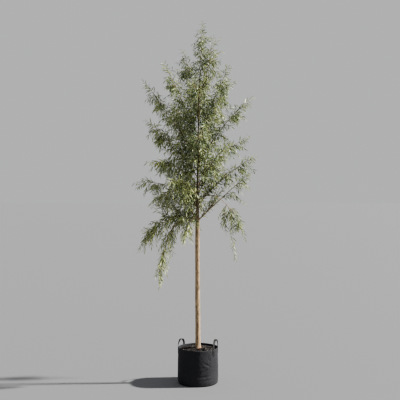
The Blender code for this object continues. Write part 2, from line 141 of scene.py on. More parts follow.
class Bench:
    """The node tree of one new material."""

    def __init__(self, name: str) -> None:
        """Start a material with its own Principled BSDF."""
        self.material = bpy.data.materials.new(name)
        self.material.use_nodes = True
        self.tree = self.material.node_tree
        self.shader = self.tree.nodes["Principled BSDF"]

    def node(self, kind: str, settings: dict[str, object] | None = None,
             inputs: dict[int | str, object] | None = None, output: int | str = 0) -> Wire:
        """Add a node.

        Args:
            kind: Blender's name of the node's type.
            settings: Its attributes, set first.
            inputs: Values or wires by the index or name of their socket.
            output: Index or name of the output that is wanted.

        Returns:
            The wire from that output.
        """
        node = self.tree.nodes.new(kind)
        for key, value in (settings or {}).items():
            setattr(node, key, value)
        for key, value in (inputs or {}).items():
            self.feed(node.inputs[key], value)
        return Wire(self, node.outputs[output])

    def feed(self, socket: bpy.types.NodeSocket, value: object) -> None:
        """Link a wire to a socket, or set the socket to a plain value."""
        if isinstance(value, Wire):
            self.tree.links.new(value.socket, socket)
        else:
            socket.default_value = value

    def surface(self, **values: object) -> None:
        """Feed the shader's sockets, named in lower case with underscores."""
        sockets = {socket.name.lower().replace(" ", "_"): socket for socket in self.shader.inputs}
        for key, value in values.items():
            self.feed(sockets[key], value)

    def laid(self) -> tuple[Wire, Wire]:
        """The two coordinates of the piece's own UV map, around it and along it."""
        spread = self.node("ShaderNodeTexCoord", output="UV")
        around = self.node("ShaderNodeSeparateXYZ", None, {"Vector": spread})
        return around, around.output(1)

    def height(self) -> Wire:
        """Height above the ground."""
        here = self.node("ShaderNodeTexCoord", output="Object")
        return self.node("ShaderNodeSeparateXYZ", None, {"Vector": here}, output="Z")

    def cloud(self, grain: Grain) -> Wire:
        """Soft random values of a grain, from about 0.25 to 0.75, in place on the object."""
        here = self.node("ShaderNodeTexCoord", output="Object")
        place = self.node("ShaderNodeMapping", None, {"Vector": here, "Scale": grain.stretch})
        inputs = {"Vector": place, "Scale": 1.0, "Detail": grain.detail, "Roughness": grain.roughness}
        return self.node("ShaderNodeTexNoise", None, inputs)

    def patches(self, grain: Grain) -> Wire:
        """Where the random values of a grain count, from 0 to 1."""
        return self.cloud(grain).between(*grain.span)

    def blend(self, mask: Value, first: object, second: object) -> Wire:
        """Colour that goes from the first to the second as the mask goes from 0 to 1."""
        ends = [colour if isinstance(colour, Wire) else (*colour, 1.0) for colour in (first, second)]
        inputs = {MIX_MASK: mask, MIX_FIRST: ends[0], MIX_SECOND: ends[1]}
        return self.node("ShaderNodeMix", {"data_type": "RGBA"}, inputs, MIX_RESULT)

    def relief(self, height: Wire, depth: float) -> None:
        """Bump the surface by a height from 0 to 1 that stands for a depth in metres."""
        inputs = {"Strength": 1.0, "Distance": depth, "Height": height}
        self.surface(normal=self.node("ShaderNodeBump", None, inputs))


# Finishes

@dataclass(frozen=True)
class Grain:
    """The grain of a random pattern.

    stretch is how many of its spots there are in a metre along each axis, detail and roughness are
    those of the noise, and span is the pair of its values that stand for 0 and 1.
    """

    stretch: Triple
    detail: float
    roughness: float
    span: Span


@dataclass(frozen=True)
class Finish:
    """A plain finish, the same all over."""

    name: str
    colour: Colour
    roughness: float

    def material(self) -> bpy.types.Material:
        """The material of this finish, made once and then shared."""
        known = bpy.data.materials.get(self.name)
        if known is not None:
            return known
        bench = Bench(self.name)
        bench.surface(base_color=(*self.colour, 1.0), roughness=self.roughness)
        self.detail(bench)
        return bench.material

    def detail(self, bench: Bench) -> None:
        """Add what changes over the surface: on a plain finish, nothing."""


@dataclass(frozen=True)
class Bark(Finish):
    """Young bark: pale, blotched and finely cracked, turning dark and smooth from the fork up; the dark is
    partly the young bark's own colour and partly painted shade under the crown.
    """

    crack_colour: Colour = (0.10, 0.075, 0.05)
    # Colour from the fork up: partly the young bark's own colour, partly painted shade under the crown
    young_and_shaded_colour: Colour = (0.085, 0.066, 0.038)
    young_and_shaded_heights: Span = (1.42, 1.95)
    young_scatter: float = 0.5
    young_smoothness: float = 0.25
    cracks: Grain = Grain((150.0, 150.0, 24.0), 5.0, 0.65, (0.56, 0.40))
    crack_share: float = 0.75
    crack_depth: float = 0.0012
    blotches: Grain = Grain((26.0, 26.0, 9.0), 4.0, 0.6, (0.52, 0.66))
    blotch_share: float = 0.35

    def detail(self, bench: Bench) -> None:
        """Mix the three colours by cracks, blotches and height, the dark from the fork up being partly
        painted shade under the crown, and raise the cracks.
        """
        cracks = bench.cloud(self.cracks)
        blotches = bench.cloud(self.blotches)
        young_and_shaded = (bench.height() + self.young_scatter * (blotches - 0.5)).between(*self.young_and_shaded_heights)
        dark = cracks.between(*self.cracks.span) * self.crack_share
        dark += blotches.between(*self.blotches.span) * self.blotch_share
        old = bench.blend(dark, self.colour, self.crack_colour)
        bench.surface(base_color=bench.blend(young_and_shaded, old, self.young_and_shaded_colour))
        bench.surface(roughness=self.roughness - self.young_smoothness * young_and_shaded)
        bench.relief(cracks, self.crack_depth)


@dataclass(frozen=True)
class Woven(Finish):
    """Cloth woven of flat tapes, with dust low down and wear all over."""

    tapes_around: float = 420.0
    tapes_along: float = 150.0
    tape_depth: float = 0.0007
    dust_colour: Colour = (0.052, 0.050, 0.048)
    dust_to: float = 0.16
    smudges: Grain = Grain((34.0, 34.0, 60.0), 4.0, 0.6, (0.50, 0.72))
    smudge_share: float = 0.45
    wear: Grain = Grain((14.0, 14.0, 10.0), 5.0, 0.62, (0.46, 0.80))
    wear_share: float = 0.12
    tape_smoothness: float = 0.16
    dust_roughness: float = 0.2
    shine: float = 0.3

    def detail(self, bench: Bench) -> None:
        """Lay the weave by the piece's own map, then rub dust and wear into it."""
        around, along = bench.laid()
        warp = (around * (math.tau * self.tapes_around)).sine()
        weft = (along * (math.tau * self.tapes_along)).sine()
        weave = warp * weft * 0.5 + 0.5
        low = bench.height().between(self.dust_to, 0.0)
        dust = bench.patches(self.smudges) * low * self.smudge_share
        dust += bench.patches(self.wear) * self.wear_share
        worn = bench.blend(dust, self.colour, self.dust_colour)
        roughness = self.roughness - self.tape_smoothness * weave + self.dust_roughness * dust
        bench.surface(base_color=worn, roughness=roughness, specular_ior_level=self.shine)
        bench.relief(weave, self.tape_depth)


@dataclass(frozen=True)
class Earth(Finish):
    """Moist compost, crumbly and uneven in colour."""

    dry_colour: Colour = (0.030, 0.027, 0.025)
    crumbs: Grain = Grain((260.0, 260.0, 260.0), 4.0, 0.7, (0.45, 0.70))
    crumb_depth: float = 0.003
    dry_patches: Grain = Grain((30.0, 30.0, 30.0), 3.0, 0.55, (0.35, 0.65))

    def detail(self, bench: Bench) -> None:
        """Mottle the compost and roughen it."""
        crumbs = bench.cloud(self.crumbs)
        dry = crumbs.between(*self.crumbs.span) * bench.patches(self.dry_patches)
        bench.surface(base_color=bench.blend(dry, self.colour, self.dry_colour))
        bench.relief(crumbs, self.crumb_depth)


@dataclass(frozen=True)
class Leaf(Finish):
    """One side of a leaf: a plain colour with a soft waxy shine, thin enough to let light through."""

    shine: float = 0.45
    glow: float = 0.22
    glow_depth: float = 0.002
    glow_spread: Triple = (1.0, 1.0, 0.6)

    def detail(self, bench: Bench) -> None:
        """Set the shine of the leaf's wax and the light that comes through it."""
        bench.surface(specular_ior_level=self.shine, subsurface_weight=self.glow)
        bench.surface(subsurface_scale=self.glow_depth, subsurface_radius=self.glow_spread)


# Both barks turn dark from their young heights up, partly as painted shade under the crown
TRUNK_BARK = Bark("trunk_bark", (0.47, 0.335, 0.200), 0.92)
BOUGH_BARK = Bark("bough_bark", (0.38, 0.28, 0.17), 0.92, young_and_shaded_colour=(0.29, 0.21, 0.12),
                  young_and_shaded_heights=(1.2, 1.7))
TWIG_BARK = Finish("twig_bark", (0.190, 0.145, 0.065), 0.60)
SHOOT_BARK = Finish("shoot_bark", (0.220, 0.200, 0.080), 0.55)
BAG_CLOTH = Woven("bag_cloth", (0.0200, 0.0208, 0.0250), 0.82)
WEBBING = Woven("webbing", (0.0070, 0.0070, 0.0080), 0.70, tapes_around=12.0, tapes_along=190.0,
                tape_depth=0.0006, dust_to=0.05)
THREAD = Finish("thread", (0.030, 0.030, 0.033), 0.60)
COMPOST_EARTH = Earth("compost_earth", (0.0066, 0.0056, 0.0050), 0.95)
CHIP_WOODS = (
    Earth("chip_dark", (0.010, 0.0082, 0.0070), 0.90),
    Earth("chip_brown", (0.020, 0.0175, 0.0155), 0.88),
    Earth("chip_red", (0.150, 0.042, 0.028), 0.86),
    Earth("chip_grey", (0.105, 0.095, 0.084), 0.90),
)
# Greens of the leaves' upper sides, deepest first; Foliage.shade deals them out partly by place, as painted
# light and shade
LEAF_TOPS = (
    Leaf("leaf_deep_green", (0.058, 0.099, 0.047), 0.42),
    Leaf("leaf_grey_green", (0.103, 0.150, 0.082), 0.45),
    Leaf("leaf_mid_green", (0.138, 0.182, 0.065), 0.42),
    Leaf("leaf_pale_green", (0.208, 0.249, 0.088), 0.42),
    Leaf("leaf_light_green", (0.312, 0.348, 0.130), 0.40),
)
LEAF_UNDERSIDE = Leaf("leaf_silver_underside", (0.276, 0.324, 0.185), 0.70, shine=0.25)
FLOOR_PAINT = Finish("floor_paint", (0.155, 0.160, 0.170), 0.85)


# Making and placing pieces

def wrapped(around: int, along: int, skin: Skin, capped: bool = False) -> bmesh.types.BMesh:
    """Bend a grid into a tube and weld its seam.

    Args:
        around: Number of faces round the tube.
        along: Number of faces along it.
        skin: Gives the point for the share round the tube and the share along it.
        capped: Whether the tube's open ends are filled.

    Returns:
        The tube, with its faces outwards and a UV map of the two shares.
    """
    bm = bmesh.new()
    bm.loops.layers.uv.new("shares")
    bmesh.ops.create_grid(bm, x_segments=around, y_segments=along, size=0.5, calc_uvs=True)
    for vert in bm.verts:
        vert.co = skin(vert.co.x + 0.5, vert.co.y + 0.5)
    bmesh.ops.remove_doubles(bm, verts=bm.verts, dist=MERGE_DISTANCE)
    if capped:
        open_edges = [edge for edge in bm.edges if edge.is_boundary]
        bmesh.ops.edgeloop_fill(bm, edges=open_edges)
    bmesh.ops.recalc_face_normals(bm, faces=bm.faces)
    return bm


def mesh_of(name: str, bm: bmesh.types.BMesh, smooth: bool = True) -> bpy.types.Mesh:
    """Mesh made from a bmesh, which is freed."""
    mesh = bpy.data.meshes.new(name)
    bm.to_mesh(mesh)
    bm.free()
    if smooth:
        mesh.shade_smooth()
    return mesh


def piece(mesh: bpy.types.Mesh, finishes: Iterable[Finish], replaced: Iterable[str]) -> None:
    """Put a finished mesh into the scene as a piece of the object with the mesh's name.

    Args:
        mesh: The mesh, already in place.
        finishes: Its finishes, in the order of the mesh's material indices.
        replaced: The solids that it stands for.
    """
    obj = bpy.data.objects.new(mesh.name, mesh)
    bpy.context.scene.collection.objects.link(obj)
    for finish in finishes:
        mesh.materials.append(finish.material())
    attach(obj, BODY)
    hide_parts(*replaced)
    log.info("%s: %d faces", mesh.name, len(mesh.polygons))


@dataclass
class Pattern:
    """A small shape that is repeated many times: its points, its triangles and their finishes."""

    points: np.ndarray
    triangles: np.ndarray
    finishes: np.ndarray

    @classmethod
    def from_bmesh(cls, bm: bmesh.types.BMesh) -> Pattern:
        """Read a pattern off a bmesh, which is freed.

        Blender's spheres don't come in the same order in every run, so points and triangles are sorted.
        """
        bmesh.ops.recalc_face_normals(bm, faces=bm.faces)
        bmesh.ops.triangulate(bm, faces=bm.faces)
        points = sorted(tuple(vert.co) for vert in bm.verts)
        numbers = {point: number for number, point in enumerate(points)}
        rows = []
        for face in bm.faces:
            corners = [numbers[tuple(vert.co)] for vert in face.verts]
            first = corners.index(min(corners))
            rows.append((corners[first:] + corners[:first], face.material_index))
        bm.free()
        triangles, finishes = zip(*sorted(rows))
        return cls(np.array(points), np.array(triangles), np.array(finishes))


@dataclass
class Copies:
    """Copies of patterns, to be joined into one mesh."""

    patterns: Sequence[Pattern]

    def __post_init__(self) -> None:
        """Start with no copies."""
        self.placings: list[tuple[int, Matrix, Sequence[int]]] = []

    def add(self, pattern: int, placing: Matrix, finishes: Sequence[int]) -> None:
        """Add a copy of a pattern, with the finish that each of its own finishes becomes."""
        self.placings.append((pattern, placing, finishes))

    def parts(self, size: int) -> Iterator[Copies]:
        """The copies in lots of the given size, with the rest in the last one."""
        for start in range(0, len(self.placings), size):
            lot = Copies(self.patterns)
            lot.placings = self.placings[start:start + size]
            yield lot

    def mesh(self, name: str) -> bpy.types.Mesh:
        """All the copies as one mesh."""
        points, triangles, finishes = [], [], []
        start = 0
        for number, placing, chosen in self.placings:
            pattern = self.patterns[number]
            turn = np.array(placing.to_3x3())
            points.append(pattern.points @ turn.T + np.array(placing.translation))
            triangles.append(pattern.triangles + start)
            finishes.append(np.array(chosen)[pattern.finishes])
            start += len(pattern.points)
        mesh = bpy.data.meshes.new(name)
        mesh.from_pydata(np.concatenate(points).tolist(), [], np.concatenate(triangles).tolist())
        mesh.polygons.foreach_set("material_index", np.concatenate(finishes).astype(np.int32))
        mesh.update()
        return mesh


def along_axis(root: Vector, aim: Vector, face: Vector, size: Sequence[float]) -> Matrix:
    """Placing with its Z axis along aim and its Y axis towards face, scaled along its own axes."""
    across = aim.cross(face).normalized()
    normal = across.cross(aim)
    turn = Matrix((across * size[0], normal * size[1], aim * size[2])).transposed().to_4x4()
    return Matrix.Translation(root) @ turn


def bearing_vector(degrees: float) -> Vector:
    """Level unit vector at a bearing from +X towards +Y."""
    angle = math.radians(degrees)
    return Vector((math.cos(angle), math.sin(angle), 0.0))


def turned_side(course: Vector, turn: float) -> Vector:
    """A vector square to a course, turned about it by an angle."""
    side = course.orthogonal()
    side.rotate(Matrix.Rotation(turn, 3, course))
    return side


def angle_from(angle: float, other: float) -> float:
    """Angle from the other to this one, within half a turn either way."""
    return (angle - other + math.pi) % math.tau - math.pi


def clamped(value: float) -> float:
    """A value kept within 0 and 1."""
    return min(1.0, max(0.0, value))


# The bag, its handles and its compost, with the same driving sizes as their solids

@dataclass(frozen=True)
class Crease:
    """A soft crease in the cloth.

    bearing and height place its middle, slant is its angle from level in degrees, and length,
    breadth and depth are its size.
    """

    bearing: float
    height: float
    slant: float
    length: float
    breadth: float
    depth: float

    def dip(self, angle: float, height: float, radius: float) -> float:
        """How deep the cloth dips at an angle round the bag and a height."""
        side, up = angle_from(angle, math.radians(self.bearing)) * radius, height - self.height
        slant = math.radians(self.slant)
        along = side * math.cos(slant) + up * math.sin(slant)
        off = up * math.cos(slant) - side * math.sin(slant)
        return self.depth * math.exp(-(along / self.length) ** 2 - (off / self.breadth) ** 2)


@dataclass(frozen=True)
class GrowBag:
    """The soft bag: a lofted shell that sags, with a folded hem at its rim and a seam at its back."""

    height: float = 0.352
    rim_radius: float = 0.1965
    belly_radius: float = 0.2020
    shoulder_radius: float = 0.1980
    base_rounding: float = 0.012
    wall: float = 0.003
    hem_depth: float = 0.022
    hem_swell: float = 0.0011
    hem_edge: float = 0.0015
    hem_rows: Pair = (0.005, 0.018)
    seam_bearing: float = 96.0
    seam_breadth: float = 0.011
    seam_swell: float = 0.0016
    seam_squareness: int = 4
    seam_from: float = 0.03
    seam_rows: Pair = (-1.3, 1.3)
    foot_swell: float = 0.0030
    foot_height: float = 0.055
    foot_spread: float = 0.045
    underside_to: float = 0.004
    taut_to: float = 0.05
    broad_swell: float = 0.0034
    broad_grain: Pair = (1.7, 5.0)
    fold_depth: float = 0.0010
    fold_grain: Pair = (3.4, 10.0)
    fold_shift: float = 7.0
    fold_slant: float = 2.5
    fold_sharpness: float = 8.0
    rim_wave: float = 0.0022
    rim_wave_power: int = 6
    rim_waves: Pair = (2.0, 3.0)
    rim_turn: float = 0.6
    rim_fold: float = 0.0009
    foot_rows: int = 7
    wall_rows: int = 40
    sides: int = 208
    rings: int = 170
    stitch_pitch: float = 0.0056

    @cached_property
    def creases(self) -> tuple[Crease, ...]:
        """The creases that show from the front, and the pulls below the feet of the handles."""
        pulls = [Crease(bearing, 0.255, 84, 0.045, 0.006, 0.0024) for bearing in (-40, 8, 136, 184)]
        return (
            Crease(-88, 0.318, 86, 0.020, 0.005, 0.0020),
            Crease(-61, 0.284, 62, 0.024, 0.007, 0.0038),
            Crease(-56, 0.256, -52, 0.020, 0.006, 0.0028),
            Crease(-64, 0.212, -30, 0.036, 0.007, 0.0048),
            Crease(-77, 0.184, 8, 0.024, 0.006, 0.0030),
            Crease(-70, 0.150, 40, 0.030, 0.007, 0.0044),
            Crease(-72, 0.098, 4, 0.060, 0.007, 0.0036),
            Crease(-58, 0.062, 7, 0.050, 0.008, 0.0038),
            Crease(-118, 0.120, -18, 0.060, 0.009, 0.0026),
            Crease(-132, 0.225, 34, 0.050, 0.009, 0.0024),
            Crease(40, 0.150, -28, 0.060, 0.009, 0.0030),
            Crease(64, 0.090, 12, 0.060, 0.009, 0.0030),
            Crease(122, 0.180, 36, 0.050, 0.009, 0.0030),
            Crease(205, 0.110, -24, 0.060, 0.009, 0.0030),
            *pulls,
        )

    def plain_radius(self, height: float) -> float:
        """Outer radius of the wall above its rounded foot, before it sags."""
        share = (height - self.base_rounding) / (self.height - self.base_rounding)
        chord = self.shoulder_radius + share * (self.rim_radius - self.shoulder_radius)
        return chord + (self.belly_radius - self.shoulder_radius) * math.sin(math.pi * share)

    def sag(self, angle: float, height: float) -> float:
        """How far the cloth stands out from its plain radius: swells, folds, creases, hem and seam."""
        x, y = math.cos(angle), math.sin(angle)
        around, up = self.broad_grain
        broad = noise.noise(Vector((around * x, around * y, up * height)))
        around, up = self.fold_grain
        slant = up * height + self.fold_slant * x
        folds = noise.noise(Vector((around * x + self.fold_shift, around * y, slant)))
        dent = self.fold_depth * max(0.0, 1.0 - self.fold_sharpness * abs(folds))
        sag = min(1.0, height / self.taut_to) * (self.broad_swell * broad - dent)
        sag += self.foot_swell * math.exp(-((height - self.foot_height) / self.foot_spread) ** 2)
        sag -= sum(crease.dip(angle, height, self.belly_radius) for crease in self.creases)
        hem = clamped((height - self.height + self.hem_depth) / self.hem_edge)
        across = angle_from(angle, math.radians(self.seam_bearing))
        seam = math.exp(-(across * self.belly_radius / self.seam_breadth) ** self.seam_squareness)
        return sag + self.hem_swell * hem + self.seam_swell * seam

    def profile(self) -> np.ndarray:
        """Rows of radius and height from the middle of the underside, up outside and down inside."""
        centre = self.shoulder_radius - self.base_rounding
        turns = np.linspace(0.0, 0.5 * math.pi, self.foot_rows)
        foot = [(math.sin(turn), 1.0 - math.cos(turn)) for turn in turns]
        heights = np.linspace(self.base_rounding, self.height, self.wall_rows)[1:]
        outside = [(centre + self.base_rounding * out, self.base_rounding * up) for out, up in foot]
        outside += [(self.plain_radius(z), z) for z in heights]
        inner = self.base_rounding - self.wall
        inside = [(centre + inner * out, self.wall + inner * up) for out, up in foot]
        inside += [(self.plain_radius(z) - self.wall, z) for z in heights]
        fold = (self.rim_radius - 0.5 * self.wall, self.height + self.rim_fold)
        return np.array([(0.0, 0.0), *outside, fold, *reversed(inside), (0.0, self.wall)])

    def skin(self, around: float, along: float) -> Vector:
        """Point of the cloth at a share round the bag and along its profile."""
        rows = self.profile_rows
        distance = along * rows[-1, 0]
        radius = float(np.interp(distance, rows[:, 0], rows[:, 1]))
        height = float(np.interp(distance, rows[:, 0], rows[:, 2]))
        angle = math.tau * around
        if radius > self.shoulder_radius - self.base_rounding and height > self.underside_to:
            radius += self.sag(angle, height)
        rise = max(0.0, height / self.height) ** self.rim_wave_power
        first, second = self.rim_waves
        height += rise * self.rim_wave * math.sin(first * angle + self.rim_turn) * math.cos(second * angle)
        return bearing_vector(math.degrees(angle)) * radius + UP * height

    @cached_property
    def profile_rows(self) -> np.ndarray:
        """The profile with the distance along it in front of each row."""
        rows = self.profile()
        steps = np.linalg.norm(np.diff(rows, axis=0), axis=1)
        return np.column_stack([np.concatenate([[0.0], np.cumsum(steps)]), rows])

    def outside(self, bearing: float, height: float, proud: float = 0.0) -> Vector:
        """Point on the outside of the cloth at a bearing and height, or proud of it."""
        radius = self.plain_radius(height) + self.sag(math.radians(bearing), height) + proud
        place = bearing_vector(bearing) * radius
        place.z = height
        return place

    def dress(self) -> None:
        """Replace the bag's solid by sagging cloth, and stitch its hem and its seam."""
        mesh = mesh_of("bag_cloth", wrapped(self.sides, self.rings, self.skin))
        piece(mesh, [BAG_CLOTH], ["grow_bag"])
        rows = Stitches()
        for below in self.hem_rows:
            self.stitch_round(rows, self.height - below)
        for off in self.seam_rows:
            for height in np.arange(self.seam_from, self.height - self.hem_depth, self.stitch_pitch):
                bearing = self.seam_bearing + off
                rows.sew(self.outside(bearing, height), UP, bearing_vector(bearing))
        piece(rows.mesh("bag_stitches"), [THREAD], ["grow_bag"])

    def stitch_round(self, rows: Stitches, height: float) -> None:
        """Add a row of stitches right round the bag at a height."""
        count = round(math.tau * self.rim_radius / self.stitch_pitch)
        for number in range(count):
            bearing = 360.0 * number / count
            rows.sew(self.outside(bearing, height), bearing_vector(bearing + 90.0), bearing_vector(bearing))


class Stitches(Copies):
    """Many short stitches of thread."""

    sides: int = 5
    rings: int = 4
    size: Triple = (0.0009, 0.0009, 0.0042)

    def __init__(self) -> None:
        """Start with one pattern, a short bead of thread."""
        bm = bmesh.new()
        bmesh.ops.create_uvsphere(bm, u_segments=self.sides, v_segments=self.rings, radius=0.5)
        super().__init__([Pattern.from_bmesh(bm)])

    def sew(self, place: Vector, along: Vector, out: Vector) -> None:
        """Add a stitch at a place on the cloth, along a direction, given which way is out."""
        self.add(0, along_axis(place, along, out, self.size), (0,))


@dataclass(frozen=True)
class Strap:
    """A flat webbing handle that arches over between two feet sewn to the outside of the bag."""

    name: str
    bearing: float
    arch_height: float
    bag: GrowBag
    width: float = 0.024
    thickness: float = 0.0028
    foot_depth: float = 0.065
    half_spread: float = 24.0
    squareness: float = 0.30
    lift_off: float = 0.012
    edge_inset: float = 0.0032
    sewn_from: float = 0.016
    sewn_above: float = 0.003
    sides: int = 28
    rings: int = 150
    course_step: float = 0.004
    stitch_pitch: float = 0.0050

    def station(self, share: float) -> tuple[Vector, Vector]:
        """Centre and width direction at a share of its length, riding on the cloth at its feet."""
        half_spread = math.radians(self.half_spread)
        lift = GAP + 0.5 * self.thickness
        ride = self.bag.plain_radius(self.bag.height) + self.bag.hem_swell + lift
        half_chord = ride * math.sin(half_spread)
        arch_length = math.pi * 0.5 * (half_chord + self.arch_height)
        total = 2 * self.foot_depth + arch_length
        distance = share * total
        from_foot = min(distance, total - distance)
        if from_foot < self.foot_depth:
            side = -1.0 if share < 0.5 else 1.0
            foot_bearing = self.bearing + side * self.half_spread
            height = self.bag.height - self.foot_depth + from_foot
            return self.foot_centre(foot_bearing, height, lift), bearing_vector(foot_bearing - side * 90)
        turn = math.pi * (distance - self.foot_depth) / arch_length
        outward, along = bearing_vector(self.bearing), bearing_vector(self.bearing + 90)
        centre = outward * ride * math.cos(half_spread) - along * half_chord * math.cos(turn)
        centre.z = self.bag.height + self.arch_height * math.sin(turn)
        return centre, bearing_vector(self.bearing + (90 - self.half_spread) * math.cos(turn))

    def foot_centre(self, bearing: float, height: float, lift: float) -> Vector:
        """Centre of a foot, on the sagging cloth but at the arch's own radius by the rim."""
        near_rim = clamped(1.0 - (self.bag.height - height) / self.lift_off)
        on_cloth = self.bag.outside(bearing, height, lift)
        plain = bearing_vector(bearing) * (self.bag.plain_radius(height) + self.bag.hem_swell + lift)
        plain.z = height
        return on_cloth.lerp(plain, near_rim)

    def skin(self, around: float, along: float) -> Vector:
        """Point of the webbing at a share round its flat section and along it."""
        centre, width_way = self.station(along)
        ahead = self.station(min(1.0, along + self.course_step))[0]
        behind = self.station(max(0.0, along - self.course_step))[0]
        out = width_way.cross(ahead - behind).normalized()
        angle = math.tau * around
        side, up = math.cos(angle), math.sin(angle)
        side = math.copysign(abs(side) ** self.squareness, side) * 0.5 * self.width
        up = math.copysign(abs(up) ** self.squareness, up) * 0.5 * self.thickness
        return centre + width_way * side + out * up

    def dress(self) -> None:
        """Replace the handle's solid by webbing, and sew down its feet."""
        solid = f"handle_{self.name}"
        tube = wrapped(self.sides, self.rings, self.skin, capped=True)
        piece(mesh_of(f"webbing_{self.name}", tube), [WEBBING], [solid])
        rows = Stitches()
        for side in (-1.0, 1.0):
            self.sew_foot(rows, self.bearing + side * self.half_spread)
        piece(rows.mesh(f"sewing_{self.name}"), [THREAD], [solid])

    def sew_foot(self, rows: Stitches, bearing: float) -> None:
        """Add the box of stitches, with its cross, that holds one foot."""
        half_width = 0.5 * self.width - self.edge_inset
        top, bottom = -self.sewn_from, self.sewn_above - self.foot_depth
        corners = ((-half_width, bottom), (half_width, bottom), (half_width, top), (-half_width, top))
        lines = [*zip(corners, corners[1:] + corners[:1]), corners[0::2], corners[1::2]]
        across = bearing_vector(bearing + 90.0)
        for (x0, z0), (x1, z1) in lines:
            along = (across * (x1 - x0) + UP * (z1 - z0)).normalized()
            count = max(2, round(math.hypot(x1 - x0, z1 - z0) / self.stitch_pitch))
            for share in (np.arange(count) + 0.5) / count:
                side = x0 + (x1 - x0) * share
                height = self.bag.height + z0 + (z1 - z0) * share
                out = bearing_vector(bearing + math.degrees(side / self.bag.belly_radius))
                place = self.bag.outside(bearing, height, GAP + self.thickness) + across * side
                rows.sew(place, along, out)


class Wood(Enum):
    """The kinds of bark chip, by their places in the list of their finishes."""

    DARK = 0
    BROWN = 1
    RED = 2
    GREY = 3


@dataclass(frozen=True)
class Compost:
    """Crumbly compost with a mulch of bark chips."""

    level: float = 0.333
    radius: float = 0.1928
    depth: float = 0.036
    mound: float = 0.011
    dip: float = 0.021
    dip_power: float = 2.5
    bump: float = 0.0045
    bump_grain: float = 20.0
    bump_level: float = 1.0
    fine_bump: float = 0.0026
    fine_grain: float = 90.0
    fine_level: float = 5.0
    top_share: float = 0.8
    sides: int = 150
    rings: int = 90
    chips: int = 1500
    chip_seed: int = 12
    chip_shares: tuple[float, ...] = (8, 4, 0.06, 1.0)
    bare_centre: float = 0.030
    strewn_share: float = 0.96
    chip_lengths: Span = (0.007, 0.024)
    chip_sizes: Span = (0.5, 1.0)
    chip_heights: Span = (0.15, 0.4)
    chip_widths: Span = (0.3, 0.7)
    chip_tilts: Span = (-0.35, 0.35)
    chip_roll: float = 0.3
    chip_rise: float = 0.25
    shapes: int = 6
    shape_seed: int = 11
    shape_skews: Span = (-0.22, 0.22)
    red_chip: Triple = (0.012, -0.086, 0.0)
    red_chip_size: Triple = (0.034, 0.022, 0.018)

    def surface(self, x: float, y: float) -> float:
        """Height of the compost at a place."""
        coarse = noise.noise(Vector((self.bump_grain * x, self.bump_grain * y, self.bump_level)))
        fine = noise.noise(Vector((self.fine_grain * x, self.fine_grain * y, self.fine_level)))
        edge = math.hypot(x, y) / self.radius
        slope = self.mound - self.dip * edge ** self.dip_power
        return self.level + slope + self.bump * coarse + self.fine_bump * fine

    def skin(self, around: float, along: float) -> Vector:
        """Point of the compost: from its middle out to the wall, down, and back under."""
        out = bearing_vector(360.0 * around)
        if along <= self.top_share:
            place = out * self.radius * along / self.top_share
            place.z = self.surface(place.x, place.y)
            return place
        place = out * self.radius * (1.0 - along) / (1.0 - self.top_share)
        place.z = self.level - self.depth
        return place

    def chip_patterns(self) -> list[Pattern]:
        """A few rough flakes of wood, 1 long."""
        patterns = []
        rng = random.Random(self.shape_seed)
        for _ in range(self.shapes):
            bm = bmesh.new()
            bmesh.ops.create_cube(bm, size=1.0)
            for vert in bm.verts:
                vert.co += Vector([rng.uniform(*self.shape_skews) for _ in range(3)])
            patterns.append(Pattern.from_bmesh(bm))
        return patterns

    def dress(self) -> None:
        """Replace the compost's solid by a rough surface strewn with chips."""
        bed = mesh_of("compost_bed", wrapped(self.sides, self.rings, self.skin))
        piece(bed, [COMPOST_EARTH], ["compost"])
        copies = Copies(self.chip_patterns())
        rng = random.Random(self.chip_seed)
        for _ in range(self.chips):
            out = bearing_vector(rng.uniform(0.0, 360.0))
            strewn = rng.uniform(self.bare_centre ** 2, self.strewn_share * self.radius ** 2)
            length = rng.uniform(*self.chip_lengths) * rng.uniform(*self.chip_sizes)
            size = (length, length * rng.uniform(*self.chip_heights), length * rng.uniform(*self.chip_widths))
            wood = rng.choices(list(Wood), self.chip_shares)[0]
            self.lay_chip(copies, out * math.sqrt(strewn), size, wood, rng)
        self.lay_chip(copies, Vector(self.red_chip), self.red_chip_size, Wood.RED, rng)
        piece(copies.mesh("bark_chips"), CHIP_WOODS, ["compost"])

    def lay_chip(self, copies: Copies, place: Vector, size: Sequence[float], wood: Wood,
                 rng: random.Random) -> None:
        """Lay one chip on the compost, tilted a little.

        Args:
            copies: The chips so far, to which it is added.
            place: Where it lies, whose height is set to that of the compost.
            size: Its length, height and width.
            wood: Its kind.
            rng: The draws for its tilt and its shape.
        """
        place.z = self.surface(place.x, place.y) + self.chip_rise * size[1]
        aim = bearing_vector(rng.uniform(0.0, 360.0)) + DOWN * rng.uniform(*self.chip_tilts)
        tilt = Vector((rng.gauss(0.0, self.chip_roll), rng.gauss(0.0, self.chip_roll), 1.0))
        placing = along_axis(place, aim.normalized(), tilt, size)
        copies.add(rng.randrange(self.shapes), placing, (wood.value,))


# The trunk, with the same driving sizes as its solid

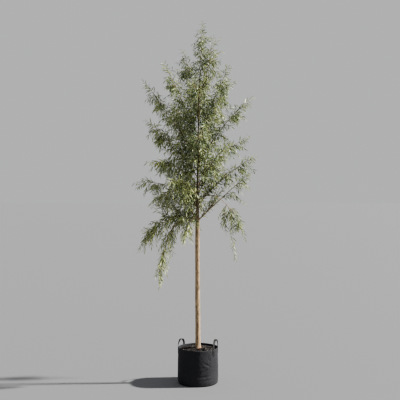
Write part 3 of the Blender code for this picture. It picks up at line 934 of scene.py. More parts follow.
@dataclass(frozen=True)
class Trunk:
    """The stem of the tree, from its flare in the compost up through the crown."""

    foot: float = 0.3333
    upright_to: float = 0.37
    fork_top: float = 1.68
    top: float = 3.07
    tree_top: float = 3.62
    lean: float = 0.042
    lean_power: int = 4
    sway: float = 0.010
    depth_sway: float = 0.012
    depth_waves: float = 1.3
    sides: int = 56
    rings: int = 420
    buried: float = 0.006
    full_radius: float = 0.025
    coarse_swell: float = 0.0011
    coarse_grain: Pair = (1.3, 4.0)
    coarse_shift: float = 9.0
    crack_depth: float = 0.0012
    crack_grain: Pair = (4.2, 13.0)
    crack_breadth: float = 0.55
    crack_sharpness: float = 3.0
    flare_height: float = 0.09
    flare_swell: float = 0.0035
    flare_lobes: float = 4.0
    flare_turn: float = 0.8
    flare_round: float = 0.4
    scars: int = 15
    scar_seed: int = 7
    scars_from: float = 0.50
    scar_spots: Span = (0.1, 0.9)
    scar_radius: float = 0.011
    scar_swell: float = 0.0030
    scar_hollow: float = 0.6
    scar_sharpness: Pair = (2.0, 14.0)

    @cached_property
    def girths(self) -> tuple[Pair, ...]:
        """Diameters at heights above the ground."""
        return (
            (self.foot, 0.062),
            (self.upright_to, 0.053),
            (0.50, 0.050),
            (1.00, 0.047),
            (1.58, 0.044),
            (self.fork_top, 0.032),
            (1.82, 0.028),
            (2.02, 0.022),
            (2.32, 0.018),
            (2.62, 0.015),
            (2.85, 0.012),
            (self.top, 0.009),
        )

    def axis(self, height: float) -> Vector:
        """Point on the centre line, carried on past the trunk's end to the top of the tree."""
        t = max(0.0, (height - self.upright_to) / (self.tree_top - self.upright_to))
        x = self.lean * t ** self.lean_power - self.sway * math.sin(math.pi * t) * (1.0 - t)
        y = self.depth_sway * math.sin(self.depth_waves * math.pi * t)
        return Vector((x, y, height))

    def radius(self, height: float) -> float:
        """Radius read off the diameters."""
        heights, diameters = zip(*self.girths)
        return 0.5 * float(np.interp(height, heights, diameters))

    @cached_property
    def scar_places(self) -> list[Pair]:
        """Height and angle of each scar that a pruned side shoot has left on the clear stem."""
        rng = random.Random(self.scar_seed)
        step = (self.fork_top - self.scars_from) / self.scars
        places = []
        for number in range(self.scars):
            height = self.scars_from + step * (number + rng.uniform(*self.scar_spots))
            places.append((height, rng.uniform(0, math.tau)))
        return places

    def swell(self, angle: float, height: float) -> float:
        """How far the bark stands out from the plain taper."""
        out = Vector((math.cos(angle), math.sin(angle), 0.0))
        around, up = self.crack_grain
        fine = noise.noise(Vector((out.x * around, out.y * around, height * up)))
        around, up = self.coarse_grain
        coarse = noise.noise(Vector((out.x * around, out.y * around, height * up + self.coarse_shift)))
        crack = self.crack_depth * max(0.0, self.crack_breadth - self.crack_sharpness * abs(fine))
        swell = self.radius(height) / self.full_radius * (self.coarse_swell * coarse - crack)
        flare = max(0.0, 1.0 - (height - self.foot) / self.flare_height)
        lobes = math.cos(self.flare_lobes * angle + self.flare_turn)
        swell += self.flare_swell * flare ** 2 * (self.flare_round + lobes)
        wide, narrow = self.scar_sharpness
        for scar_height, scar_angle in self.scar_places:
            if abs(height - scar_height) < 2.0 * self.scar_radius:
                across = angle_from(angle, scar_angle) * self.radius(height)
                gap = math.hypot(across, height - scar_height) / self.scar_radius
                hollow = self.scar_hollow * math.exp(-narrow * gap * gap)
                swell += self.scar_swell * (math.exp(-wide * gap * gap) - hollow)
        return swell

    def skin(self, around: float, along: float) -> Vector:
        """Point of the bark at a share round and along the stem, closed over at the top."""
        bottom = self.foot - self.buried
        height = bottom + (self.top - bottom) * along
        angle = math.tau * around
        radius = 0.0 if along > POLE_SHARE else self.radius(height) + self.swell(angle, height)
        return self.axis(height) + Vector((math.cos(angle), math.sin(angle), 0.0)) * radius

    def dress(self) -> None:
        """Replace the trunk's solid by a stem with the relief of bark."""
        stem = mesh_of("trunk_stem", wrapped(self.sides, self.rings, self.skin, capped=True))
        piece(stem, [TRUNK_BARK], ["trunk"])


TRUNK = Trunk()


# Limbs, with the same driving sizes as their solids

LIMB_GIRTH_SHARE = 0.38
LIMB_TIP_RADIUS = 0.0026
LIMB_TAPER = 1.15
LIMB_ARCH_SHARE = 0.55
LIMB_JOINT_LENGTH = 0.012
LIMB_COURSE_STEP = 0.01
STEM_STEPS = 4


class Side(Enum):
    """The parts of the crown, each of which is joined into pieces of its own."""

    RIGHT = "right"
    LEFT = "left"
    FRONT = "front"
    BACK = "back"
    LEADER = "leader"


@dataclass(frozen=True)
class Limb:
    """One limb of the crown, an arching curve.

    start is its height on the trunk, bearing its compass angle in degrees from +X towards +Y, reach
    the distance of its tip from the trunk, tip the tip's height, and rise the angle in degrees at
    which it leaves the trunk. bare is the share of it with no foliage, spread the length of its
    twigs, and hang how far they weep, from 0 to 1.
    """

    name: str
    start: float
    bearing: float
    reach: float
    tip: float
    rise: float
    bare: float
    spread: float
    hang: float

    @property
    def side(self) -> Side:
        """The part of the crown that it belongs to."""
        return Side(self.name.split("_")[0])

    @property
    def clothing(self) -> Clothing:
        """Its finer growth."""
        return CLOTHING.get(self.name, Clothing())

    def point(self, share: float) -> Vector:
        """Point on its centre line: it leaves at its rise and arches to its tip."""
        root = TRUNK.axis(self.start)
        outward = bearing_vector(self.bearing)
        tip = root + outward * self.reach
        tip.z = self.tip
        rise = math.radians(self.rise)
        aim = outward * math.cos(rise) + UP * math.sin(rise)
        bend = root + aim * LIMB_ARCH_SHARE * (tip - root).length
        return root * (1 - share) ** 2 + bend * 2 * share * (1 - share) + tip * share ** 2

    def course(self, share: float) -> Vector:
        """Unit vector along it."""
        ahead = self.point(share + LIMB_COURSE_STEP)
        return (ahead - self.point(share - LIMB_COURSE_STEP)).normalized()

    def radius(self, share: float) -> float:
        """Radius, tapering from where it leaves the trunk."""
        base = LIMB_GIRTH_SHARE * TRUNK.radius(max(self.start, TRUNK.fork_top))
        return LIMB_TIP_RADIUS + (base - LIMB_TIP_RADIUS) * (1 - share) ** LIMB_TAPER

    def stem_points(self) -> list[Vector]:
        """Points of the stem of its mass, as its solid has them."""
        steps = [self.bare + (1 - self.bare) * i / STEM_STEPS for i in range(1, STEM_STEPS + 1)]
        points = [self.point(share) for share in steps]
        start = self.point(self.bare)
        if self.bare == 0.0:
            return [start] + points
        course = self.course(self.bare)
        return [start + course * GAP, start + course * (GAP + LIMB_JOINT_LENGTH)] + points


LIMBS = (
    Limb("right_low", 1.61, -12, 0.44, 2.01, 44, 0.64, 0.15, 0.35),
    Limb("right_weeping", 1.81, 30, 0.50, 1.57, 38, 0.68, 0.16, 1.00),
    Limb("right_mid", 1.77, 6, 0.48, 2.20, 50, 0.54, 0.14, 0.38),
    Limb("right_upper", 2.16, -16, 0.45, 2.74, 62, 0.26, 0.13, 0.35),
    Limb("right_high", 1.96, 24, 0.46, 2.41, 54, 0.50, 0.10, 0.30),
    Limb("right_back", 2.26, 44, 0.36, 2.98, 62, 0.16, 0.17, 0.40),
    Limb("right_front", 2.44, -38, 0.32, 3.02, 60, 0.00, 0.16, 0.40),
    Limb("right_top", 2.84, -8, 0.12, 3.32, 70, 0.00, 0.13, 0.30),
    Limb("left_low", 1.68, 190, 0.50, 1.46, 1, 0.26, 0.21, 0.90),
    Limb("left_weeping", 1.62, 200, 0.38, 1.15, 18, 0.44, 0.17, 1.00),
    Limb("left_mid", 1.74, 167, 0.53, 2.00, 52, 0.46, 0.13, 0.50),
    Limb("left_front", 1.95, 204, 0.41, 2.19, 56, 0.24, 0.20, 0.65),
    Limb("left_upper", 2.04, 172, 0.43, 2.55, 56, 0.18, 0.20, 0.60),
    Limb("left_high", 2.20, 188, 0.46, 2.89, 60, 0.14, 0.15, 0.35),
    Limb("left_front_high", 2.46, 212, 0.33, 3.04, 62, 0.00, 0.15, 0.35),
    Limb("left_top", 2.80, 150, 0.15, 3.22, 70, 0.00, 0.13, 0.30),
    Limb("front_weeping", 1.62, 244, 0.22, 1.54, 36, 0.50, 0.13, 1.00),
    Limb("front_low", 1.82, 238, 0.36, 2.00, 52, 0.34, 0.20, 0.75),
    Limb("front_right_low", 1.94, 310, 0.38, 2.30, 54, 0.36, 0.17, 0.40),
    Limb("front_mid", 2.08, 278, 0.36, 2.48, 58, 0.18, 0.19, 0.50),
    Limb("front_upper", 2.54, 262, 0.26, 2.94, 62, 0.00, 0.18, 0.40),
    Limb("back_low", 1.70, 98, 0.42, 1.86, 46, 0.36, 0.20, 0.75),
    Limb("back_left_low", 1.80, 146, 0.48, 1.86, 46, 0.36, 0.20, 0.75),
    Limb("back_right_low", 1.86, 60, 0.42, 2.22, 54, 0.36, 0.17, 0.40),
    Limb("back_mid", 2.10, 86, 0.40, 2.50, 56, 0.18, 0.19, 0.55),
    Limb("back_left", 2.26, 126, 0.38, 2.76, 60, 0.14, 0.19, 0.45),
    Limb("back_upper", 2.60, 78, 0.25, 3.06, 64, 0.00, 0.17, 0.40),
    Limb("leader", 3.04, 12, 0.022, 3.48, 88, 0.00, 0.13, 0.30),
)


class Spaces:
    """The room of each mass: what lies nearest to its own stem and clear of the wood."""

    limb_samples: int = 24
    trunk_samples: int = 280
    margin: float = 0.0015
    clearance: float = 0.003

    def __init__(self, limbs: Sequence[Limb]) -> None:
        """Sample the stems, with the mass that each belongs to, and the bare wood."""
        stems, owners, wood = [], [], []
        for index, limb in enumerate(limbs):
            for share in np.linspace(limb.bare, 1.0, self.limb_samples):
                stems.append((*limb.point(share), limb.radius(share)))
                owners.append(index)
            for share in np.linspace(0.0, limb.bare, self.limb_samples):
                wood.append((*limb.point(share), limb.radius(share)))
        for height in np.linspace(TRUNK.foot, TRUNK.top, self.trunk_samples):
            wood.append((*TRUNK.axis(height), TRUNK.radius(height)))
        self.stems, self.owners, self.wood = np.array(stems), np.array(owners), np.array(wood)

    @staticmethod
    def distances(samples: np.ndarray, point: Vector) -> np.ndarray:
        """Distance from a point to the surface of each sampled stretch of wood."""
        return np.linalg.norm(samples[:, :3] - point, axis=1) - samples[:, 3]

    def clear_of_wood(self, point: Vector, girth: float) -> bool:
        """Whether a point, with girth around it, is clear of the bare wood."""
        return self.distances(self.wood, point).min() > girth

    def holds(self, index: int, point: Vector, girth: float) -> bool:
        """Whether a point, with girth around it, is in a mass's own space."""
        if self.distances(self.wood, point).min() < girth + self.clearance:
            return False
        to_stems = self.distances(self.stems, point)
        own = to_stems[self.owners == index].min()
        others = to_stems[self.owners != index].min()
        return others - own > 2 * (girth + self.margin)


# Foliage: the source's rule, and the finer growth that it is carried on to

@dataclass(frozen=True)
class Rule:
    """The seeded rule by which twigs and sprays grow, as the solids have it."""

    seed: int = 41
    twig_radius: float = 0.0042
    twig_forward: float = 0.75
    twig_bends: tuple[Pair, ...] = ((0.30, 0.35), (0.80, 1.10))
    twig_places: Span = (0.05, 0.95)
    twig_place_step: float = 0.7549
    twig_turn_step: float = 0.5698
    twig_sizes: Span = (0.75, 1.05)
    twig_root_size: float = 1.10
    twig_tip_size: float = 0.75
    twig_samples: tuple[float, ...] = (0.25, 0.45, 0.6, 0.8, 1.0)
    twig_tries: int = 120
    fewest_sprays: int = 3
    sprays_per_metre: float = 22.5
    spray_length: float = 0.200
    spray_width: float = 0.045
    spray_thickness: float = 0.0062
    spray_sink: float = 0.0015
    spray_shares: tuple[float, ...] = (0.22, 0.41, 0.61, 0.80, 0.985)
    spray_sizes: Span = (0.85, 1.10)
    spray_shrinks: tuple[float, ...] = (1.0, 0.75, 0.55)
    spray_face_rise: float = 0.35
    spray_middle_samples: tuple[float, ...] = (0.2, 0.4, 0.6, 0.8, 1.0)
    spray_side_samples: tuple[Pair, ...] = ((0.5, 0.2), (1.0, 0.42), (0.5, 0.7))
    sprays_apart: float = 0.036
    spray_lean: float = 0.62
    spray_tip_lean: float = 0.25
    spray_droop: float = 0.42
    golden_angle: float = math.radians(137.5)


RULE = Rule()


def along_line(points: Sequence[Vector], share: float) -> tuple[Vector, Vector]:
    """Point and direction at a share of a twig of two equal stretches."""
    stretch = 0 if share < 0.5 else 1
    start, end = points[stretch], points[stretch + 1]
    return start.lerp(end, 2 * share - stretch), (end - start).normalized()


@dataclass(frozen=True)
class Twig:
    """A twig of a mass: its points, how far out on the limb it grows, and its sprays."""

    points: Sequence[Vector]
    place: float
    sprays: Sequence[Matrix]


class Mass:
    """The twigs and sprays on one limb, by the same rule and the same draws as those of its solid."""

    def __init__(self, limb: Limb, index: int, spaces: Spaces) -> None:
        """Grow the mass of a limb, given by its index in the list of limbs."""
        self.limb = limb
        self.index = index
        self.spaces = spaces
        self.rng = random.Random(RULE.seed + index)
        self.sprays: list[Matrix] = []
        stem = limb.stem_points()
        stem_length = sum((b - a).length for a, b in zip(stem, stem[1:]))
        self.tip = Twig(stem[-3:], 1.0, self.sprays_on(stem[-3:]))
        self.twigs: list[Twig] = []
        self.grow(round(RULE.sprays_per_metre * (stem_length + limb.spread)))

    def grow(self, quota: int) -> None:
        """Try twigs one after another until there are enough sprays."""
        limb = self.limb
        first_turn = self.rng.uniform(0, math.tau)
        first, last = RULE.twig_places
        for attempt in range(RULE.twig_tries):
            if len(self.sprays) >= quota:
                return
            turned_by = first_turn + math.tau * attempt * RULE.twig_turn_step
            place = first + (last - first) * ((attempt * RULE.twig_place_step) % 1.0)
            share = limb.bare + (1 - limb.bare) * place
            course = limb.course(share)
            outward = (turned_side(course, turned_by) + course * RULE.twig_forward).normalized()
            size = RULE.twig_root_size + place * (RULE.twig_tip_size - RULE.twig_root_size)
            length = limb.spread * self.rng.uniform(*RULE.twig_sizes) * size
            points = self.twig_line(limb.point(share), outward, length)
            tries = [along_line(points, s)[0] for s in RULE.twig_samples]
            if not all(self.spaces.holds(self.index, point, RULE.twig_radius) for point in tries):
                continue
            sprays = self.sprays_on(points)
            if len(sprays) >= RULE.fewest_sprays:
                self.twigs.append(Twig(points, place, sprays))
            else:
                del self.sprays[len(self.sprays) - len(sprays):]

    def twig_line(self, root: Vector, outward: Vector, length: float) -> list[Vector]:
        """Root, middle and end of a twig that bends down under its own weight."""
        points = [root]
        for less_outward, more_down in RULE.twig_bends:
            course = outward * (1 - less_outward * self.limb.hang) + DOWN * more_down * self.limb.hang
            points.append(points[-1] + course.normalized() * 0.5 * length)
        return points

    def sprays_on(self, points: Sequence[Vector]) -> list[Matrix]:
        """Add the sprays along a twig, which lean out to either side of it and droop."""
        placings: list[Matrix] = []
        turn = self.rng.uniform(0, math.tau)
        for share in RULE.spray_shares:
            root, course = along_line(points, share)
            turn += RULE.golden_angle
            lean = RULE.spray_tip_lean if share == RULE.spray_shares[-1] else RULE.spray_lean
            aim = (course + turned_side(course, turn) * lean + DOWN * RULE.spray_droop).normalized()
            face = Vector((self.rng.uniform(-1, 1), self.rng.uniform(-1, 1), RULE.spray_face_rise))
            size = self.rng.uniform(*RULE.spray_sizes)
            for shrink in RULE.spray_shrinks:
                placing = along_axis(root - aim * RULE.spray_sink, aim, face, [size * shrink] * 3)
                if self.fits(placing) and self.stands_apart(placing):
                    placings.append(placing)
                    self.sprays.append(placing)
                    break
        return placings

    def fits(self, placing: Matrix) -> bool:
        """Whether a spray stays within the mass's space, tried along its middle and both sides."""
        places = [(0.0, share) for share in RULE.spray_middle_samples]
        places += [(side * out, share) for side in (-0.5, 0.5) for out, share in RULE.spray_side_samples]
        tries = [placing @ Vector((x * RULE.spray_width, 0, z * RULE.spray_length)) for x, z in places]
        girth = 0.5 * RULE.spray_thickness
        return all(self.spaces.holds(self.index, point, girth) for point in tries)

    def stands_apart(self, placing: Matrix) -> bool:
        """Whether the middle of a spray keeps its distance from the middles of the others."""
        middle = Vector((0, 0, 0.5 * RULE.spray_length))
        here = placing @ middle
        return all((here - other @ middle).length > RULE.sprays_apart for other in self.sprays)


@dataclass(frozen=True)
class Shoot:
    """A fine leafy shoot.

    root is where it grows from, aim the direction it leaves in, length its own length, sag how far
    it bends down as a share of its length, leaf_length the length of its leaves, and shade the
    number of their green.
    """

    root: Vector
    aim: Vector
    length: float
    sag: float
    leaf_length: float
    shade: int

    def point(self, share: float) -> Vector:
        """Point at a share of its length."""
        return self.root + (self.aim + DOWN * self.sag * share) * self.length * share

    def course(self, share: float) -> Vector:
        """Unit vector along it."""
        return (self.aim + DOWN * self.sag * 2 * share).normalized()


@dataclass(frozen=True)
class LeafShape:
    """A narrow willow leaf, folded along its midrib and curved back towards its tip."""

    width: float = 0.165
    thickness: float = 0.010
    fold: float = 0.22
    belly: float = 0.44
    bluntness: float = 0.85
    least: float = 0.001
    sides: int = 4
    rings: int = 4

    def pattern(self, curve: float, twist: float) -> Pattern:
        """A leaf of length 1 along +Z, made from a sphere of four sides that is flattened to its outline.

        Args:
            curve: How far its tip curves back from its upper side, as a share of its length.
            twist: Angle in radians that it turns by from root to tip.

        Returns:
            The pattern, whose second finish is that of its underside.
        """
        bm = bmesh.new()
        bmesh.ops.create_uvsphere(bm, u_segments=self.sides, v_segments=self.rings, radius=1.0)
        for vert in bm.verts:
            share = 0.5 + math.asin(max(-1.0, min(1.0, vert.co.z))) / math.pi
            across, up = vert.co.x, vert.co.y
            ring = math.hypot(across, up)
            if ring > self.least:
                across, up = across / ring, up / ring
            outline = math.sin(math.pi * share ** (math.log(0.5) / math.log(self.belly)))
            half_width = 0.5 * self.width * outline ** self.bluntness if outline > self.least else 0.0
            x = across * half_width
            y = up * 0.5 * self.thickness * outline - self.fold * (half_width - abs(x))
            cosine, sine = math.cos(twist * share), math.sin(twist * share)
            vert.co = Vector((x * cosine - y * sine, x * sine + y * cosine, share))
            vert.co.y -= curve * share ** 2
        bm.normal_update()
        bmesh.ops.recalc_face_normals(bm, faces=bm.faces)
        for face in bm.faces:
            face.material_index = 1 if face.normal.y < 0.0 else 0
        return Pattern.from_bmesh(bm)


@dataclass(frozen=True)
class Clothing:
    """Finer growth of one limb.

    start is where its side shoots begin, as a share of it, and spacing how far apart they stand.
    thinning is the share of its shoots that are missing. tails are long hanging twigs: the share of
    the limb that each hangs from, its length, and how far out its end swings. risers is the number
    of upright twigs on a metre of its lower part, and risers_to the share of it where they end.
    leafy_to is the share of it up to which it bears leaves of its own.
    """

    start: float = 0.08
    spacing: float = 0.0155
    thinning: float = 0.0
    tails: tuple[Triple, ...] = ()
    risers: float = 40.0
    risers_to: float = 0.3
    leafy_to: float = 0.0


CLOTHING = {
    "right_low": Clothing(0.58, 0.022, 0.25, risers=50.0, risers_to=0.34),
    "right_weeping": Clothing(0.74, 0.016, 0.15, tails=((0.78, 0.52, 0.07),), risers=30.0),
    "right_mid": Clothing(0.50, 0.018, 0.10, risers=50.0, risers_to=0.34),
    "right_upper": Clothing(0.10, 0.015, 0.10),
    "right_high": Clothing(0.40, 0.024),
    "right_back": Clothing(0.08, 0.015, 0.22),
    "right_front": Clothing(0.08, 0.013, 0.18),
    "right_top": Clothing(0.08, 0.016, 0.35),
    "left_low": Clothing(0.06, 0.016, 0.20, risers=60.0, risers_to=0.6, leafy_to=0.6),
    "left_weeping": Clothing(0.24, 0.019, 0.20, tails=((0.86, 0.28, 0.04),), risers=50.0,
                             risers_to=0.4, leafy_to=0.4),
    "left_mid": Clothing(0.14, 0.024, 0.30, risers=50.0, risers_to=0.46, leafy_to=0.3),
    "left_front": Clothing(0.08, 0.014),
    "left_upper": Clothing(0.08, 0.013),
    "left_high": Clothing(0.08, 0.017),
    "front_weeping": Clothing(0.20, 0.026, 0.30),
    "front_low": Clothing(0.08, 0.015),
    "front_right_low": Clothing(0.20, 0.018, 0.20),
    "back_low": Clothing(0.12, 0.016, 0.25),
    "back_left_low": Clothing(0.12, 0.016, 0.25),
    "back_right_low": Clothing(0.25, 0.020, 0.35),
    "leader": Clothing(0.02, 0.012, 0.20),
}


def nearest_green(wanted: float) -> int:
    """Number of the green that comes nearest to a wanted one, from 0 for the deepest."""
    return min(len(LEAF_TOPS) - 1, max(0, round(wanted)))


@dataclass(frozen=True)
class Foliage:
    """The finer growth on one part of the crown.

    Each spray of a solid becomes a leafy shoot. Side shoots clothe the limb itself, shorter
    towards its tip, and one leading shoot carries the tip on. Long tails hang from two limbs, and
    upright twigs, called risers, stand on the bare stretches. Each field is named after the growth
    that it sizes.
    """

    side: Side
    masses: Sequence[Mass]
    slimming: float = 0.50
    slimming_power: float = 1.5
    spray_share: float = 0.58
    spray_sag: float = 0.28
    spray_sag_sizes: Span = (0.4, 1.2)
    side_length: float = 0.92
    side_slimming: float = 0.58
    side_forward: float = 0.85
    side_droop: float = 0.5
    side_sag: float = 0.15
    side_hang_sag: float = 0.45
    side_spots: Span = (0.2, 0.8)
    side_sizes: Span = (0.70, 1.10)
    side_limit: float = 0.22
    lead_length: float = 0.135
    lead_rise: float = 0.12
    lead_sag: float = 0.3
    lead_course_at: float = 0.99
    tail_bow: float = 0.2
    shoot_clearance: float = 0.012
    shoot_samples: Pair = (0.5, 1.0)
    shoot_points: Triple = (0.0, 0.5, 1.0)
    shoot_radii: Span = (0.0016, 0.0007)
    twig_radii: Span = (0.0034, 0.0015)
    leaf_length: float = 0.068
    leaf_spacing: float = 0.0094
    leaf_first: float = 0.8
    leaf_last: float = 0.2
    leaf_sizes: Span = (0.78, 1.12)
    leaf_narrowing: float = 0.28
    leaf_lean: float = 0.80
    leaf_tip_lean: float = 0.35
    leaf_droop: Span = (0.20, 0.85)
    leaf_roll: float = 0.8
    leaf_clearance: float = 0.004
    leaf_samples: Pair = (0.4, 0.9)
    fewest_leaves: int = 3
    leaves_together: int = 8000
    twig_leaf_spacing: float = 0.018
    tail_leaf_spacing: float = 0.012
    bough_leaf_spacing: float = 0.006
    bough_leaves_from: float = 0.03
    bough_leaf_points: int = 6
    # The greens: base and spread are the leaves' own, while the fields by place below paint light to the left
    # and low down and paint shade to the right and at the top
    shade_base: float = 1.85
    painted_light_slope: float = -1.6
    painted_light_low: float = 0.9
    painted_light_low_below: float = 2.1
    painted_light_left: float = 14.0
    painted_light_left_below: float = 2.95
    most_painted_light: float = 1.8
    painted_shade_top: float = 2.2
    painted_shade_top_above: float = 2.9
    shade_spread: float = 1.1
    shade_steps: tuple[int, ...] = (-1, 0, 0, 1)
    leader_gap: float = 0.009
    leader_span: Span = (1.75, 3.0)
    leader_samples: tuple[float, ...] = (0.0, 0.3, 0.6, 0.9)
    leader_opening: float = 0.72
    riser_places: Span = (0.1, 1.0)
    riser_lengths: Span = (0.16, 0.40)
    riser_leans: Span = (0.15, 1.00)
    riser_bends: Span = (0.0, 0.3)
    riser_scatter: float = 24.0
    riser_radii: Span = (0.0024, 0.0009)
    riser_leaf_spacing: float = 0.017
    curves: tuple[float, ...] = (0.08, 0.16, 0.26, 0.34)
    twists: tuple[float, ...] = (0.2, -0.5, 0.4, 0.9)

    def spray_shoots(self, mass: Mass, rng: random.Random) -> list[Shoot]:
        """One shoot for each spray of a solid, drawn in towards the limb as it nears the tip."""
        shoots = []
        for twig in (mass.tip, *mass.twigs):
            slim = self.slim(twig)
            for placing in twig.sprays:
                reach = placing.col[2].to_3d() * RULE.spray_length
                root = twig.points[0].lerp(placing.translation, slim)
                aim = reach.normalized()
                length = self.spray_share * slim * reach.length
                sag = self.spray_sag * rng.uniform(*self.spray_sag_sizes)
                shoots.append(Shoot(root, aim, length, sag, self.leaf_length, self.shade(root, rng)))
        return shoots

    def slim(self, twig: Twig) -> float:
        """How much of its full size a twig keeps."""
        if twig.place == 1.0:
            return 1.0
        return 1.0 - self.slimming * twig.place ** self.slimming_power

    def side_shoots(self, mass: Mass, rng: random.Random) -> list[Shoot]:
        """Shoots that grow straight from the limb, by turns round it."""
        limb = mass.limb
        clothing = limb.clothing
        reach = (limb.point(1.0) - limb.point(clothing.start)).length
        count = round(reach / clothing.spacing)
        turn = rng.uniform(0, math.tau)
        shoots = []
        for number in range(count):
            place = (number + rng.uniform(*self.side_spots)) / count
            share = clothing.start + (1.0 - clothing.start) * place
            turn += RULE.golden_angle
            course = limb.course(share)
            outward = turned_side(course, turn) + course * self.side_forward
            aim = (outward + DOWN * self.side_droop * limb.hang).normalized()
            length = self.side_length * limb.spread * (1.0 - self.side_slimming * place)
            length = min(self.side_limit, length) * rng.uniform(*self.side_sizes)
            root = limb.point(share)
            sag = self.side_sag + self.side_hang_sag * limb.hang
            shoot = Shoot(root, aim, length, sag, self.leaf_length, self.shade(root, rng))
            tries = [shoot.point(sample) for sample in self.shoot_samples]
            if all(mass.spaces.clear_of_wood(point, self.shoot_clearance) for point in tries):
                shoots.append(shoot)
        return shoots

    def tails(self, limb: Limb) -> list[list[Vector]]:
        """Root, middle and end of each long hanging twig of a limb."""
        lines = []
        for share, length, swing in limb.clothing.tails:
            root = limb.point(share)
            out = bearing_vector(limb.bearing)
            middle = root + out * self.tail_bow * swing + DOWN * 0.5 * length
            lines.append([root, middle, root + out * swing + DOWN * length])
        return lines

    def leading_shoot(self, mass: Mass, rng: random.Random) -> Shoot:
        """The shoot that carries on the tip of the limb."""
        limb = mass.limb
        course = limb.course(self.lead_course_at)
        aim = (course + UP * self.lead_rise * (1.0 - limb.hang)).normalized()
        root = limb.point(1.0)
        sag = self.lead_sag * limb.hang
        return Shoot(root, aim, self.lead_length, sag, self.leaf_length, self.shade(root, rng))

    def shade(self, root: Vector, rng: random.Random) -> int:
        """Number of the green of a shoot: a random green with painted light and shade by place, lighter to
        the left and low down as painted light where the crown's own shadow falls, and deeper to the right and
        near the top as painted shade.
        """
        # Painted light to the left and low down, painted shade near the top and, by the slope, to the right
        lift = self.painted_light_low * max(0.0, self.painted_light_low_below - root.z)
        lift += self.painted_light_left * max(0.0, -root.x) * max(0.0, self.painted_light_left_below - root.z)
        lift = min(lift, self.most_painted_light) - self.painted_shade_top * max(0.0, root.z - self.painted_shade_top_above)
        wanted = rng.gauss(self.shade_base + self.painted_light_slope * root.x + lift, self.shade_spread)
        return nearest_green(wanted)

    def leaves_along(self, leaves: Copies, shoot: Shoot, spacing: float, spaces: Spaces,
                     rng: random.Random) -> None:
        """Set leaves by turns round a shoot, shorter towards its tip, where they clear the wood.

        Args:
            leaves: The leaves so far, to which they are added.
            shoot: The shoot that bears them.
            spacing: How far apart they stand along it.
            spaces: The room round the wood.
            rng: The draws for their turns, sizes and greens.
        """
        turn = rng.uniform(0, math.tau)
        count = max(self.fewest_leaves, round(shoot.length / spacing))
        for number in range(count):
            share = (number + self.leaf_first) / (count - self.leaf_last)
            turn += RULE.golden_angle
            course = shoot.course(share)
            lean = self.leaf_lean * (self.leaf_tip_lean if number == count - 1 else 1.0)
            outward = course + turned_side(course, turn) * lean
            aim = (outward + DOWN * rng.uniform(*self.leaf_droop)).normalized()
            length = shoot.leaf_length * rng.uniform(*self.leaf_sizes) * (1.0 - self.leaf_narrowing * share)
            root = shoot.point(share)
            if self.hides_leader(root, root + aim * length) and rng.random() < self.leader_opening:
                continue
            tries = [root + aim * length * sample for sample in self.leaf_samples]
            if all(spaces.clear_of_wood(point, self.leaf_clearance) for point in tries):
                roll = Vector((rng.gauss(0, self.leaf_roll), rng.gauss(0, self.leaf_roll), 1.0))
                placing = along_axis(root, aim, roll, [length] * 3)
                green = nearest_green(shoot.shade + rng.choice(self.shade_steps))
                leaves.add(rng.randrange(len(self.curves)), placing, (green, len(LEAF_TOPS)))

    def hides_leader(self, root: Vector, tip: Vector) -> bool:
        """Whether a leaf from root to tip crosses the upper trunk's line, as seen from the front."""
        low, high = self.leader_span
        if not low < root.z < high:
            return False
        places = [root.lerp(tip, sample) for sample in self.leader_samples]
        offs = [place - TRUNK.axis(place.z) for place in places]
        return any(off.y < 0.0 and abs(off.x) < self.leader_gap for off in offs)

    def risers(self, limb: Limb, rng: random.Random) -> list[list[Vector]]:
        """Root, middle and end of the thin upright twigs on the bare stretch of a limb."""
        lines = []
        clothing = limb.clothing
        length = (limb.point(clothing.risers_to) - limb.point(0.0)).length
        for _ in range(round(clothing.risers * length)):
            root = limb.point(clothing.risers_to * rng.uniform(*self.riser_places))
            out = bearing_vector(rng.gauss(limb.bearing, self.riser_scatter))
            aim = (out * rng.uniform(*self.riser_leans) + UP).normalized()
            half_length = 0.5 * rng.uniform(*self.riser_lengths)
            middle = root + aim * half_length
            bent = (aim + out * rng.uniform(*self.riser_bends)).normalized()
            lines.append([root, middle, middle + bent * half_length])
        return lines

    def leaves_on_line(self, leaves: Copies, points: Sequence[Vector], spacing: float, spaces: Spaces,
                       rng: random.Random) -> None:
        """Set leaves along each straight stretch of a twig, given its points."""
        for start, end in zip(points, points[1:]):
            line = end - start
            shade = self.shade(start, rng)
            stretch = Shoot(start, line.normalized(), line.length, 0.0, self.leaf_length, shade)
            self.leaves_along(leaves, stretch, spacing, spaces, rng)

